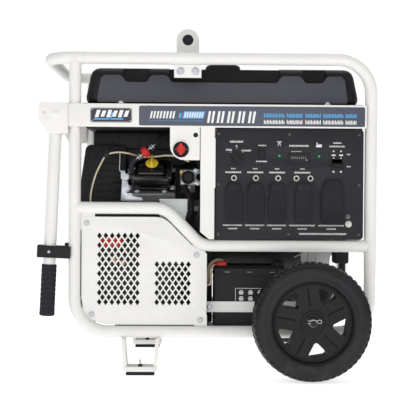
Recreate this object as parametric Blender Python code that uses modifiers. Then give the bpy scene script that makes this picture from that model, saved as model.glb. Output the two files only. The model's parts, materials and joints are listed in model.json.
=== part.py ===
"""An open-frame portable generator: a tube frame with a V-twin engine, alternator, battery,
fuel tank and control panel, two wheels on one axle, and two folding handles.

Units are metres, +Z is up and the front faces -Y. The origin is on the floor, under the middle.
"""

import math

import bmesh
import bpy
from mathutils import Matrix, Vector

# frame
tube_radius = 0.016
frame_half_depth = 0.25
left_x = -0.354
right_x = 0.436
bottom_z = 0.114
top_z = 0.843
bend_radius = 0.09
loop_x = -0.426
loop_bend_radius = 0.07
loop_joint_x = -0.332
mid_left_z = 0.444
mid_right_z = 0.345
mid_bend_start_x = -0.112
mid_bend_end_x = -0.016
mid_bend_radius = 0.066
gap = 0.0004
sheet = 0.0025

# fascia and control panel
fascia_y = -0.269
band_low_z = 0.659
band_high_z = 0.7205
panel_front_y = -0.262
panel_thickness = 0.003
panel_left_x = 0.0198
panel_right_x = 0.415
panel_low_z = 0.361
panel_high_z = 0.6575
button_radius = 0.004
button_z = 0.5256
button_xs = (0.0694, 0.1279, 0.1872, 0.236, 0.2734)
cover_xs = (0.0697, 0.1271, 0.1848, 0.255, 0.3335)

# running gear
wheel_x = 0.2683
wheel_radius = 0.155
wheel_y = 0.355
tyre_width = 0.08
rim_radius = 0.105
axle_radius = 0.010
stub_radius = 0.0075

# folding handles
pivot_x = -0.4037
pivot_z = 0.693
hang_angle = math.radians(2.5)
rear_hang_angle = math.radians(0.3)
handle_length = 0.5335
grip_radius = 0.020

# engine and alternator
crank_z = 0.385
engine_x = -0.154
bank_angle = math.radians(42)
bank_start = 0.1203
bank_head = 0.2003
bank_end = 0.245
alternator_radius = 0.115


def clear_scene():
    for old in list(bpy.data.objects):
        bpy.data.objects.remove(old)


def new_collection(name):
    group = bpy.data.collections.new(name)
    bpy.context.scene.collection.children.link(group)
    return group


def paint(name, colour, roughness, metallic=0.0):
    material = bpy.data.materials.new(name)
    material.use_nodes = True
    shader = material.node_tree.nodes["Principled BSDF"]
    shader.inputs["Base Color"].default_value = (*colour, 1.0)
    shader.inputs["Roughness"].default_value = roughness
    shader.inputs["Metallic"].default_value = metallic
    return material


def add_object(name, data, material):
    piece = bpy.data.objects.new(name, data)
    parts.objects.link(piece)
    data.materials.clear()
    data.materials.append(material)
    return piece


def corner_arc(before, corner, after, radius, steps):
    """The points of a round bend that replaces a sharp corner."""
    to_before = (before - corner).normalized()
    to_after = (after - corner).normalized()
    half = to_before.angle(to_after) / 2
    tangent = radius / math.tan(half)
    centre = corner + (to_before + to_after).normalized() * radius / math.sin(half)
    start = corner + to_before * tangent - centre
    end = corner + to_after * tangent - centre
    sweep = math.pi - 2 * half
    weights = [i / steps for i in range(steps + 1)]
    return [
        centre + (start * math.sin((1 - t) * sweep) + end * math.sin(t * sweep)) / math.sin(sweep)
        for t in weights
    ]


def rounded_path(corners, radius, steps=6):
    """An open path with each inner corner bent to the radius."""
    points = [Vector(c) for c in corners]
    path = [points[0]]
    for before, corner, after in zip(points, points[1:], points[2:]):
        path += corner_arc(before, corner, after, radius, steps)
    return path + [points[-1]]


def rounded_outline(corners, radii, steps=3):
    """A closed flat outline; a radius of 0 leaves that corner sharp."""
    points = [Vector((x, y, 0)) for x, y in corners]
    count = len(points)
    outline = []
    for i, radius in enumerate(radii):
        if radius == 0:
            outline.append(points[i])
            continue
        before = points[i - 1]
        after = points[(i + 1) % count]
        outline += corner_arc(before, points[i], after, radius, steps)
    return outline


def rectangle(low_x, low_y, high_x, high_y, radius=0.0, steps=3):
    corners = [(low_x, low_y), (high_x, low_y), (high_x, high_y), (low_x, high_y)]
    return rounded_outline(corners, [radius] * 4, steps)


def circle(x, y, radius, sides=16):
    angles = [2 * math.pi * i / sides for i in range(sides)]
    return [Vector((x + radius * math.cos(a), y + radius * math.sin(a), 0)) for a in angles]


def add_spline(curve, points, closed):
    spline = curve.splines.new("POLY")
    spline.points.add(len(points) - 1)
    for control, point in zip(spline.points, points):
        control.co = (*point, 1.0)
    spline.use_cyclic_u = closed


def as_mesh(piece):
    """Turns a curve or a piece with modifiers into a plain welded mesh object."""
    bpy.context.view_layer.update()
    evaluated = piece.evaluated_get(bpy.context.evaluated_depsgraph_get())
    data = bpy.data.meshes.new_from_object(evaluated)
    mesh = bmesh.new()
    mesh.from_mesh(data)
    bmesh.ops.remove_doubles(mesh, verts=mesh.verts, dist=1e-6)
    mesh.to_mesh(data)
    mesh.free()
    name = piece.name
    place = piece.matrix_world.copy()
    collection = piece.users_collection[0]
    material = piece.data.materials[0] if piece.data.materials else None
    bpy.data.objects.remove(piece)
    solid = bpy.data.objects.new(name, data)
    collection.objects.link(solid)
    solid.matrix_world = place
    data.materials.clear()
    if material:
        data.materials.append(material)
    return solid


def tube(name, points, radius, material, sides=16):
    curve = bpy.data.curves.new(name, "CURVE")
    curve.dimensions = "3D"
    curve.bevel_depth = radius
    curve.bevel_resolution = (sides - 4) // 2
    curve.use_fill_caps = True
    add_spline(curve, points, closed=False)
    return add_object(name, curve, material)


def flat_piece(name, outlines, thickness, material):
    """Outlines drawn in X and Y, with any inner ones as holes, and the thickness along Z."""
    curve = bpy.data.curves.new(name, "CURVE")
    curve.dimensions = "2D"
    curve.fill_mode = "BOTH"
    curve.extrude = thickness / 2
    for outline in outlines:
        add_spline(curve, outline, closed=True)
    return add_object(name, curve, material)


def upright_plate(name, outlines, front_y, thickness, material):
    """Outlines drawn in X and Z, standing with the front face at front_y."""
    plate = flat_piece(name, outlines, thickness, material)
    plate.rotation_euler = (math.pi / 2, 0, 0)
    plate.location = (0, front_y + thickness / 2, 0)
    return as_mesh(plate)


def mesh_object(name, mesh, material):
    data = bpy.data.meshes.new(name)
    mesh.to_mesh(data)
    mesh.free()
    return add_object(name, data, material)


def block(name, low, high, material, bevel=0.0, segments=2):
    low, high = Vector(low), Vector(high)
    mesh = bmesh.new()
    bmesh.ops.create_cube(mesh, size=1.0)
    bmesh.ops.scale(mesh, vec=high - low, verts=mesh.verts)
    bmesh.ops.translate(mesh, vec=(low + high) / 2, verts=mesh.verts)
    piece = mesh_object(name, mesh, material)
    if bevel:
        add_bevel(piece, bevel, segments)
    return piece


def add_bevel(piece, width, segments):
    bevel = piece.modifiers.new("rounded_edges", "BEVEL")
    bevel.width = width
    bevel.segments = segments
    bevel.limit_method = "ANGLE"
    bevel.angle_limit = math.radians(40)


def rod(name, start, end, radius, material, sides=24):
    start, end = Vector(start), Vector(end)
    mesh = bmesh.new()
    bmesh.ops.create_cone(
        mesh, cap_ends=True, segments=sides, radius1=radius, radius2=radius,
        depth=(end - start).length,
    )
    piece = mesh_object(name, mesh, material)
    turn = Vector((0, 0, 1)).rotation_difference(end - start)
    piece.matrix_world = Matrix.Translation((start + end) / 2) @ turn.to_matrix().to_4x4()
    return piece


def turned(name, profile, steps, material, closed):
    """A profile of (radius, height) points turned about Z, drawn down its outer side."""
    mesh = bmesh.new()
    corners = [mesh.verts.new((radius, 0, height)) for radius, height in profile]
    pairs = list(zip(corners, corners[1:]))
    if closed:
        pairs.append((corners[-1], corners[0]))
    for pair in pairs:
        mesh.edges.new(pair)
    piece = mesh_object(name, mesh, material)
    screw = piece.modifiers.new("turned", "SCREW")
    screw.axis = "Z"
    screw.steps = steps
    screw.render_steps = steps
    screw.use_merge_vertices = True
    screw.merge_threshold = 1e-6
    screw.use_smooth_shade = True
    return piece


def place(piece, location, turn=(0, 0, 0)):
    piece.location = location
    piece.rotation_euler = turn
    return piece


def boolean(piece, tools, operation):
    """Joins the tools to the piece, or cuts them out of it, and removes them."""
    for tool in tools:
        change = piece.modifiers.new(operation.lower(), "BOOLEAN")
        change.operation = operation
        change.object = tool
    solid = as_mesh(piece)
    for tool in tools:
        bpy.data.objects.remove(tool)
    return solid


def join(piece, *tools):
    return boolean(piece, tools, "UNION")


def cut(piece, *tools):
    return boolean(piece, tools, "DIFFERENCE")


def pivot(name, location, pieces):
    """An empty on a joint's axis that carries the moving pieces."""
    bpy.context.view_layer.update()
    empty = bpy.data.objects.new(name, None)
    empty.location = location
    parts.objects.link(empty)
    bpy.context.view_layer.update()
    for piece in pieces:
        piece.parent = empty
        piece.matrix_parent_inverse = empty.matrix_world.inverted()


def side_name(side):
    return "front" if side < 0 else "rear"


# --- frame -----------------------------------------------------------------------------------


def make_side_hoop(side):
    y = side * frame_half_depth
    corners = [
        (left_x, y, top_z - tube_radius - gap),
        (left_x, y, bottom_z),
        (right_x, y, bottom_z),
        (right_x, y, top_z),
        (loop_joint_x, y, top_z),
    ]
    tube(side_name(side) + "_side_hoop", rounded_path(corners, bend_radius), tube_radius, white)


def make_end_loop():
    y = frame_half_depth
    end_x = loop_joint_x - gap
    corners = [(end_x, -y, top_z), (loop_x, -y, top_z), (loop_x, y, top_z), (end_x, y, top_z)]
    tube("end_handle_loop", rounded_path(corners, loop_bend_radius), tube_radius, white)


def make_mid_rail(side):
    y = side * frame_half_depth
    corners = [
        (left_x + tube_radius + gap, y, mid_left_z),
        (mid_bend_start_x, y, mid_left_z),
        (mid_bend_end_x, y, mid_right_z),
        (right_x - tube_radius - gap, y, mid_right_z),
    ]
    path = rounded_path(corners, mid_bend_radius, steps=4)
    tube(side_name(side) + "_mid_rail", path, tube_radius, white)


def make_cradle():
    inner_y = frame_half_depth - tube_radius - gap
    low, high = 0.100, 0.1192
    cradle = block("engine_cradle", (-0.2525, -inner_y, low), (-0.2125, inner_y, high), white)
    right_bar = block("bar", (0.185, -inner_y, low), (0.225, inner_y, high), white)
    tray = block("tray", (-0.24, -0.22, 0.105), (0.21, -0.08, high), white)
    beam = block("beam", (-0.24, 0.04, 0.105), (0.21, 0.10, high), white)
    join(cradle, right_bar, tray, beam)


def make_fascia():
    """The band under the tank, with its selector tab, its centre post and the tank's shelf."""
    tab_left, tab_right, tab_low = -0.101, -0.022, 0.572
    post_left, post_right, post_low = -0.020, 0.0174, 0.3625
    overlap = 0.012
    inset = 0.0001
    band_outline = rectangle(-0.370, band_low_z, 0.4215, band_high_z, 0.004)
    tab_corners = [
        (tab_left, band_low_z + overlap), (tab_left, tab_low),
        (tab_right, tab_low), (tab_right, band_low_z + overlap),
    ]
    tab_outline = rounded_outline(tab_corners, [0, 0.038, 0.002, 0], steps=5)
    post_corners = [
        (post_left, band_low_z + overlap), (post_left, 0.382), (0.004, post_low),
        (post_right, post_low), (post_right, band_low_z + overlap),
    ]
    post_outline = rounded_outline(post_corners, [0] * 5)
    band = upright_plate("front_fascia", [band_outline], fascia_y, sheet, white)
    thinner = sheet - 2 * inset
    tab = upright_plate("tab", [tab_outline], fascia_y + inset, thinner, white)
    post = upright_plate("post", [post_outline], fascia_y + inset, thinner, white)
    shelf = block(
        "shelf", (-0.337, fascia_y + 0.001, band_high_z - sheet),
        (0.419, -0.216, band_high_z - 2 * inset), white,
    )
    join(band, tab, post, shelf)


def make_rear_fascia():
    y = frame_half_depth + tube_radius + gap
    outline = rectangle(-0.370, band_low_z, 0.452, band_high_z, 0.004)
    fascia = upright_plate("rear_fascia", [outline], y, sheet, white)
    shelf = block(
        "shelf", (-0.337, 0.216, band_high_z - sheet),
        (0.419, y + sheet / 2, band_high_z - 0.0002), white,
    )
    join(fascia, shelf)


def diamonds(left, top, columns, rows, pitch_x, pitch_z):
    """Staggered rows of diamond holes; every second row holds one fewer."""
    half_width, half_height = 0.0065, 0.0088
    holes = []
    for row in range(rows):
        z = top - row * pitch_z
        shift = (row % 2) / 2
        for column in range(columns - row % 2):
            x = left + (column + shift) * pitch_x
            holes.append([
                Vector((x - half_width, z, 0)), Vector((x, z - half_height, 0)),
                Vector((x + half_width, z, 0)), Vector((x, z + half_height, 0)),
            ])
    return holes


def make_heat_shield():
    corner_radius = 0.071
    corners = [
        (-0.335, 0.4205), (-0.335, 0.133), (-0.0013, 0.133),
        (-0.0013, 0.3225), (-0.006, 0.3285), (-0.033, 0.338), (-0.1168, 0.4205),
    ]
    radii = [0.004, corner_radius, 0.003, 0.002, 0.002, 0.01, 0.057]
    outline = rounded_outline(corners, radii, steps=5)
    pitch_x, pitch_z = 0.01685, 0.01264
    holes = diamonds(-0.2874, 0.370, 7, 15, pitch_x, pitch_z)
    holes += diamonds(-0.1343, 0.2942, 6, 9, pitch_x, pitch_z)
    upright_plate("heat_shield", [outline, *holes], -0.2545, 0.002, white)


def make_foot(side):
    y = side * frame_half_depth
    x, half_top, half_bottom, wall = -0.177, 0.0495, 0.044, 0.0045
    low, high, half_width = 0.010, 0.0976, 0.025
    outline = [
        (-half_top, high), (-half_bottom, low), (half_bottom, low), (half_top, high),
        (half_top - wall, high), (half_bottom - wall, low + 0.006),
        (wall - half_bottom, low + 0.006), (wall - half_top, high),
    ]
    points = [Vector((x + dx, z, 0)) for dx, z in outline]
    upright_plate(
        "foot_bracket_" + side_name(side), [points], y - half_width, 2 * half_width, white
    )
    block(
        "foot_pad_" + side_name(side), (x - 0.0375, y - 0.022, 0),
        (x + 0.0375, y + 0.022, low - gap), rubber, bevel=0.0015, segments=1,
    )


def make_axle():
    end_y, shoulder_y = 0.4025, 0.308
    profile = [
        (0, end_y), (stub_radius, end_y), (stub_radius, shoulder_y), (axle_radius, shoulder_y),
        (axle_radius, -shoulder_y), (stub_radius, -shoulder_y), (stub_radius, -end_y), (0, -end_y),
    ]
    axle = turned("wheel_axle", profile, 16, steel, closed=False)
    place(axle, (wheel_x, 0, wheel_radius), (math.pi / 2, 0, 0))
    axle = as_mesh(axle)
    plate_low = bottom_z + tube_radius + gap
    plates = []
    for side in (-1, 1):
        y = side * frame_half_depth
        plates.append(block(
            "axle_plate", (wheel_x - 0.028, y - 0.004, plate_low),
            (wheel_x + 0.028, y + 0.004, wheel_radius + 0.020), steel,
        ))
    join(axle, *plates)


# --- bodywork --------------------------------------------------------------------------------


def make_tank():
    low, high = Vector((-0.334, -0.215, 0.7236)), Vector((0.4133, 0.215, 0.825))
    taper, notch_low_z = 0.018, 0.786
    mesh = bmesh.new()
    bmesh.ops.create_cube(mesh, size=1.0)
    bmesh.ops.scale(mesh, vec=high - low, verts=mesh.verts)
    bmesh.ops.translate(mesh, vec=(low + high) / 2, verts=mesh.verts)
    middle = (low + high) / 2
    for corner in mesh.verts:
        if corner.co.z > middle.z:
            corner.co.x -= math.copysign(taper, corner.co.x - middle.x)
            corner.co.y -= math.copysign(taper, corner.co.y)
    tank = mesh_object("fuel_tank", mesh, tank_grey)
    add_bevel(tank, 0.022, 3)
    flange = block("flange", (-0.337, -0.232, band_high_z + gap), (0.418, 0.232, 0.7245), tank_grey)
    tank = join(tank, flange)
    channel = block("channel", (-0.106, -0.25, 0.8221), (0.196, 0.25, 0.85), tank_grey, bevel=0.002)
    notches = [
        block("notch", (left, -0.25, notch_low_z), (right, -0.184, 0.85), tank_grey, bevel=0.006)
        for left, right in ((-0.230, -0.158), (-0.106, 0.196), (0.257, 0.320))
    ]
    cut(tank, channel, *notches)


def make_filler_cap():
    x, base, radius, height = 0.047, 0.8224, 0.051, 0.0335
    profile = [
        (0, height), (radius - 0.010, height), (radius, height - 0.008), (radius, 0.004),
        (radius - 0.006, 0), (0, 0),
    ]
    cap = turned("filler_cap", profile, 32, black, closed=False)
    place(cap, (x, 0, base))
    pivot("filler_cap_pivot", (x, 0, base), [cap])


def make_crossbar():
    """The bar across the top of the frame that carries the lifting eye."""
    left, right = -0.0916, -0.0184
    flange_y, half_flange = frame_half_depth, 0.0025
    low, plate_low, high = 0.792, 0.8232, 0.8265
    inset = 0.0003
    reach = flange_y + half_flange
    bar = block("lifting_crossbar", (left, -reach, plate_low), (right, reach, high), white)
    tools = []
    for side in (-1, 1):
        y = side * (flange_y - inset)
        tools.append(block(
            "flange", (left + inset, y - half_flange, low),
            (right - inset, y + half_flange, high - inset), white,
        ))
    for x in (left + inset, right - inset - 0.003):
        tools.append(block("rib", (x, -0.20, plate_low + inset), (x + 0.003, 0.20, 0.838), white))
    eye_x, eye_z, half_eye = (left + right) / 2, 0.928, 0.0325
    eye = [(eye_x - half_eye, plate_low + inset), (eye_x + half_eye, plate_low + inset)]
    eye += [
        (eye_x + half_eye * math.cos(a), eye_z + half_eye * math.sin(a))
        for a in [math.pi * i / 12 for i in range(13)]
    ]
    outline = [Vector((x, z, 0)) for x, z in eye]
    hole = circle(eye_x, 0.929, 0.016, 20)
    tools.append(upright_plate("eye", [outline, hole], -0.005, 0.010, white))
    join(bar, *tools)


def cover_outline(x, width, low, high):
    """A socket cover's face: narrow at its hinge, widest below, tapered at the bottom."""
    half = width / 2
    corners = [
        (x - 0.33 * width, high), (x - half, high - 0.3 * (high - low)),
        (x - half, low + 0.012), (x - 0.36 * width, low), (x + 0.36 * width, low),
        (x + half, low + 0.012), (x + half, high - 0.3 * (high - low)), (x + 0.33 * width, high),
    ]
    return [Vector((cx, cz, 0)) for cx, cz in corners]


def make_outlet_covers():
    front, back, hinge_y = -0.2745, -0.2627, -0.2660
    for i, x in enumerate(cover_xs):
        wide = i == len(cover_xs) - 1
        width = 0.062 if wide else 0.046
        low = 0.403 if wide else 0.405
        high = 0.5215 if wide else 0.5125
        outline = cover_outline(x, width, low, high)
        name = f"outlet_cover_{i + 1}"
        cover = upright_plate(name, [outline], front, back - front, rubber)
        add_bevel(cover, 0.002, 1)
        pivot(name + "_hinge", (x, hinge_y, high - 0.0005), [cover])


def make_control_panel():
    outline = rectangle(panel_left_x, panel_low_z + 0.001, panel_right_x, panel_high_z, 0.010)
    holes = [circle(x, button_z, button_radius + 0.0005) for x in button_xs]
    holes.append(rectangle(0.1370, 0.579, 0.1502, 0.601))
    holes.append(rectangle(0.3310, 0.5585, 0.3572, 0.5765))
    upright_plate(
        "control_panel", [outline, *holes], panel_front_y, panel_thickness, panel_grey
    )


def make_panel_box():
    front = panel_front_y + panel_thickness + gap
    low, high, wall = Vector((0.028, front, 0.368)), Vector((0.408, -0.150, 0.645)), 0.002
    shell = block("panel_box", low, high, panel_grey)
    inner_low = low + Vector((wall, -0.01, wall))
    hollow = block("hollow", inner_low, high - Vector((wall, wall, wall)), panel_grey)
    cut(shell, hollow)


def make_buttons():
    front, back = panel_front_y - 0.002, panel_front_y + 0.010
    for i, x in enumerate(button_xs):
        name = f"breaker_button_{i + 1}"
        button = rod(name, (x, front, button_z), (x, back, button_z), button_radius, black, 12)
        pivot(name + "_slide", (x, front, button_z), [button])


def make_engine_switch():
    x, z, radius = 0.0772, 0.576, 0.0176
    back = panel_front_y - 0.0005
    knob = rod("engine_switch_knob", (x, back - 0.007, z), (x, back, z), radius, black)
    bar = block("bar", (-0.0165, -0.0085, -0.0055), (0.0165, 0, 0.0055), black)
    place(bar, (x, back - 0.0065, z), (0, math.radians(45), 0))
    knob = join(knob, bar)
    pivot("engine_switch_pivot", (x, back, z), [knob])


def make_mode_rocker():
    x, y, z = 0.1436, panel_front_y + 0.0045, 0.590
    rocker = block("mode_rocker", (-0.006, -0.008, -0.0095), (0.006, 0.004, 0.0095), black)
    place(rocker, (x, y, z), (math.radians(8), 0, 0))
    pivot("mode_rocker_pivot", (x, y, z), [rocker])


def make_main_breaker_toggle():
    x, y, z = 0.3441, panel_front_y + 0.010, 0.5675
    toggle = block("main_breaker_toggle", (-0.012, -0.021, -0.0035), (0.012, 0.003, 0.0035), black)
    place(toggle, (x, y, z), (math.radians(20), 0, 0))
    pivot("main_breaker_pivot", (x, y, z), [toggle])


def make_fuel_selector():
    x, z, radius = -0.0718, 0.600, 0.0115
    back = fascia_y - 0.0065
    knob = rod("fuel_selector_knob", (x, back - 0.006, z), (x, back, z), radius, red, 20)
    pointer = block(
        "pointer", (x - 0.004, back - 0.014, z - 0.015), (x + 0.004, back - 0.001, z + 0.015), red
    )
    knob = join(knob, pointer)
    pivot("fuel_selector_pivot", (x, back, z), [knob])


# --- engine, alternator and battery ----------------------------------------------------------


def bank_point(side, along, across):
    """A point in a cylinder bank's own plane: along its bore, and across it, upward."""
    y = side * (along * math.cos(bank_angle) - across * math.sin(bank_angle))
    z = crank_z + along * math.sin(bank_angle) + across * math.cos(bank_angle)
    return y, z


def bank_block(name, side, along, across, x_range, material, bevel=0.0):
    """A block in a cylinder bank, set out along and across the bore."""
    piece = block(
        name, (x_range[0], across[0], along[0]), (x_range[1], across[1], along[1]), material, bevel
    )
    if side < 0:
        turn = math.pi / 2 - bank_angle
        place(piece, (0, 0, crank_z), (turn, 0, 0))
    else:
        turn = bank_angle - math.pi / 2
        place(piece, (0, 0, crank_z), (turn, 0, 0))
    return piece


def make_crankcase():
    left, right = -0.225, 0.0
    face = bank_start - 0.0003
    half_wide, half_top = 0.105, 0.030
    shoulder_z = crank_z + (face - half_wide * math.cos(bank_angle)) / math.sin(bank_angle)
    roof_z = crank_z + (face - half_top * math.cos(bank_angle)) / math.sin(bank_angle)
    base_z = 0.1196
    outline = [
        Vector((y, z, 0)) for y, z in [
            (-0.065, base_z), (0.105, base_z), (0.105, 0.150), (half_wide, shoulder_z),
            (half_top, roof_z), (-half_top, roof_z), (-half_wide, shoulder_z), (-half_wide, 0.20),
            (-0.065, 0.170),
        ]
    ]
    case = flat_piece("crankcase", [outline], right - left, aluminium)
    case.matrix_world = Matrix.Translation(((left + right) / 2, 0, 0)) @ Matrix(
        ((0, 0, 1, 0), (1, 0, 0, 0), (0, 1, 0, 0), (0, 0, 0, 1))
    )
    case = as_mesh(case)
    bore = rod("bore", (left - 0.01, 0, crank_z), (right + 0.01, 0, crank_z), 0.0190, aluminium)
    cut(case, bore)


def make_cylinder_bank(side):
    name = side_name(side)
    half_width, half_across = 0.065, 0.0475
    width = (engine_x - half_width, engine_x + half_width)
    across = (-half_across, half_across)
    bank_block(name + "_cylinder", side, (bank_start, bank_head - gap), across, width, aluminium)
    flange = bank_block(
        name + "_rocker_cover", side, (bank_head, bank_head + 0.007), across, width, black
    )
    dome_width = (width[0] + 0.012, width[1] - 0.012)
    dome_across = (across[0] + 0.010, across[1] - 0.006)
    dome = bank_block(
        "dome", side, (bank_head + 0.004, bank_end), dome_across, dome_width, black, 0.010
    )
    join(as_mesh(flange), as_mesh(dome))


def make_dipstick():
    along, across, radius = bank_end + 0.0004, 0.019, 0.018
    x = engine_x + 0.002
    width = (x - 0.0015, x + 0.0015)
    y, z = bank_point(-1, along, across)
    end_y, end_z = bank_point(-1, along + 0.009, across)
    cap = rod("dipstick", (x, y, z), (x, end_y, end_z), radius, yellow, 20)
    tab = bank_block(
        "tab", -1, (along + 0.006, along + 0.020), (across - 0.011, across + 0.011), width, yellow
    )
    cap = join(cap, tab)
    pivot("dipstick_pivot", (x, y, z), [cap])


def make_blower_shroud():
    radius, wall, intake = 0.125, 0.003, 0.055
    left, right = -0.318, -0.228
    half = (right - left) / 2
    profile = [
        (intake, half), (radius - 0.012, half), (radius, half - 0.012), (radius, -half),
        (radius - wall, -half), (radius - wall, half - 0.014), (radius - 0.014, half - wall),
        (intake, half - wall),
    ]
    shroud = turned("blower_shroud", profile, 32, black, closed=True)
    place(shroud, ((left + right) / 2, 0, crank_z), (0, -math.pi / 2, 0))


def make_alternator():
    left, right, bore = 0.004, 0.355, 0.092
    half = (right - left) / 2
    radius = alternator_radius
    profile = [
        (radius - 0.008, half), (radius, half - 0.008), (radius, 0.008 - half),
        (radius - 0.008, -half), (bore, -half), (bore, half),
    ]
    housing = turned("alternator_housing", profile, 32, aluminium, closed=True)
    place(housing, ((left + right) / 2, 0, crank_z), (0, math.pi / 2, 0))
    housing = as_mesh(housing)
    foot = block("foot", (0.187, -0.06, 0.1196), (0.223, 0.06, crank_z - 0.098), aluminium)
    join(housing, foot)


def make_crankshaft():
    shaft, rotor, flywheel = 0.0180, 0.088, 0.095
    left, right = -0.310, 0.350
    rotor_x, flywheel_x = (0.03, 0.32), (-0.300, -0.262)
    profile = [
        (0, right), (shaft, right), (shaft, rotor_x[1]), (rotor, rotor_x[1]), (rotor, rotor_x[0]),
        (shaft, rotor_x[0]), (shaft, flywheel_x[1]), (flywheel, flywheel_x[1]),
        (flywheel, flywheel_x[0]), (shaft, flywheel_x[0]), (shaft, left), (0, left),
    ]
    crankshaft = turned("crankshaft", profile, 24, steel, closed=False)
    place(crankshaft, (0, 0, crank_z), (0, math.pi / 2, 0))
    pivot("crankshaft_pivot", (0, 0, crank_z), [crankshaft])


def make_engine_covers():
    block("air_cleaner", (-0.262, -0.105, 0.558), (-0.062, 0.105, 0.652), black, bevel=0.012)
    block("muffler", (-0.315, -0.228, 0.172), (-0.070, -0.135, 0.368), dark_steel, bevel=0.022)


def make_battery():
    low, high = (0.0187, -0.215, 0.1196), (0.217, -0.085, 0.284)
    block("battery_case", low, high, black, bevel=0.003, segments=1)
    wall, clear = 0.003, 0.0008
    outer = (low[0] - 0.0187, low[1] - wall - clear, high[0] + 0.024, -0.075)
    inner = (low[0] - clear, low[1] - clear, high[0] + clear)
    corners = [
        (outer[0], outer[1]), (outer[2], outer[1]), (outer[2], outer[1] + wall),
        (inner[2] + wall, outer[1] + wall), (inner[2] + wall, outer[3]), (inner[2], outer[3]),
        (inner[2], inner[1]), (inner[0], inner[1]), (inner[0], outer[3]),
        (inner[0] - wall, outer[3]), (inner[0] - wall, outer[1] + wall),
        (outer[0], outer[1] + wall),
    ]
    outline = [Vector((x, y, 0)) for x, y in corners]
    strap = flat_piece("battery_strap", [outline], 0.029, white)
    strap.location = (0, 0, 0.1775)
    as_mesh(strap)


def smooth_path(points, per_span):
    """A smooth line through the points, with per_span steps from each to the next."""
    knots = [Vector(p) for p in points]
    ends = [2 * knots[0] - knots[1], *knots, 2 * knots[-1] - knots[-2]]
    path = []
    for a, b, c, d in zip(ends, ends[1:], ends[2:], ends[3:]):
        for i in range(per_span):
            t = i / per_span
            path.append(0.5 * (
                2 * b + (c - a) * t + (2 * a - 5 * b + 4 * c - d) * t * t
                + (3 * b - a - 3 * c + d) * t ** 3
            ))
    return path + [knots[-1]]


def make_cables():
    lead = [
        (-0.3050, -0.222, 0.385), (-0.3050, -0.238, 0.414), (-0.3050, -0.2535, 0.4238),
        (-0.3048, -0.2668, 0.4300), (-0.3045, -0.2722, 0.444), (-0.304, -0.2700, 0.460),
        (-0.3025, -0.258, 0.478), (-0.298, -0.243, 0.508), (-0.285, -0.230, 0.548),
        (-0.258, -0.222, 0.580), (-0.222, -0.219, 0.594), (-0.180, -0.219, 0.595),
        (-0.140, -0.222, 0.592), (-0.105, -0.230, 0.589), (-0.085, -0.243, 0.586),
        (-0.080, -0.262, 0.585),
    ]
    tube("ignition_lead", smooth_path(lead, 2), 0.0024, cream, sides=8)
    cable = [
        (0.048, -0.150, 0.2895), (0.044, -0.158, 0.299), (0.028, -0.168, 0.301),
        (0.010, -0.176, 0.290), (0.0045, -0.180, 0.268), (0.002, -0.178, 0.245),
        (-0.012, -0.165, 0.226), (-0.034, -0.145, 0.219), (-0.048, -0.126, 0.224),
        (-0.050, -0.110, 0.232),
    ]
    tube("battery_cable", smooth_path(cable, 2), 0.0042, red, sides=8)


# --- handles and wheels ----------------------------------------------------------------------


def make_handle_bracket(side):
    y = side * frame_half_depth
    inner, outer = 0.0168, 0.0193
    left, right = -0.448, left_x - tube_radius - 0.0008
    low, high, step_z = 0.640, 0.7225, 0.680
    corners = [(left, high), (left, step_z), (-0.424, low), (right, low), (right, high)]
    outline = rounded_outline(corners, [0.006, 0.02, 0.012, 0, 0], steps=3)
    lock_hole = circle(-0.434, 0.696, 0.0037, 12)
    plates = [
        upright_plate(
            "plate", [outline, lock_hole], y + offset, outer - inner, white
        )
        for offset in (-outer, inner)
    ]
    name = "handle_bracket_" + side_name(side)
    web = block(name, (left + 0.006, y - outer, high - sheet), (right, y + outer, high), white)
    reach = outer + 0.004
    bolt = rod("bolt", (pivot_x, y - reach, pivot_z), (pivot_x, y + reach, pivot_z), 0.006, steel, 16)
    join(web, *plates, bolt)


def make_handle(side):
    y = side * frame_half_depth
    name = side_name(side)
    place_at = Vector((pivot_x, y, pivot_z))
    tilt = hang_angle if side < 0 else rear_hang_angle
    bar = rod("handle_tube_" + name, (0, 0, -handle_length), (0, 0, tube_radius), tube_radius, white)
    hole = rod("hole", (0, -0.03, 0), (0, 0.03, 0), 0.0064, white, 16)
    bar = cut(bar, hole)
    inner, top, bottom = tube_radius + 0.0003, -0.400, -0.5375
    profile = [
        (inner, top), (grip_radius, top), (grip_radius, bottom + 0.004),
        (grip_radius - 0.004, bottom), (0, bottom), (0, bottom + 0.0035),
        (inner, bottom + 0.0035),
    ]
    grip = turned("handle_grip_" + name, profile, 24, rubber, closed=True)
    clip = make_clip("handle_clip_" + name, side)
    for piece in (bar, grip, clip):
        piece.matrix_world = (
            Matrix.Translation(place_at) @ Matrix.Rotation(tilt, 4, "Y") @ piece.matrix_world
        )
    pivot("handle_pivot_" + name, place_at, [bar, grip, clip])


def make_clip(name, side):
    """A clamp round the handle's tube, with jaws that snap over the frame's upright."""
    back, jaw_in, jaw_out, web = -0.0323, 0.0168, 0.0208, 0.0222
    tip, height = (0.0567, -0.366) if side < 0 else (0.0427, -0.3835)
    corners = [
        (back, -jaw_out), (tip, -jaw_out), (tip, -jaw_in), (web, -jaw_in),
        (web, jaw_in), (tip, jaw_in), (tip, jaw_out), (back, jaw_out),
    ]
    outline = rounded_outline(corners, [0.006, 0, 0, 0, 0, 0, 0, 0.006], steps=3)
    clip = flat_piece(name, [outline, circle(0, 0, tube_radius + 0.0004, 24)], 0.032, black)
    clip.location = (0, 0, height)
    return as_mesh(clip)


def window_outline(angle):
    """A rounded three-cornered opening between two spokes."""
    inner, outer, spread = 0.048, 0.094, math.radians(18.5)
    polar = [(inner, angle), (outer, angle - spread), (outer, angle + spread)]
    corners = [(r * math.cos(a), r * math.sin(a)) for r, a in polar]
    return rounded_outline(corners, [0.006] * 3, steps=2)


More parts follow.
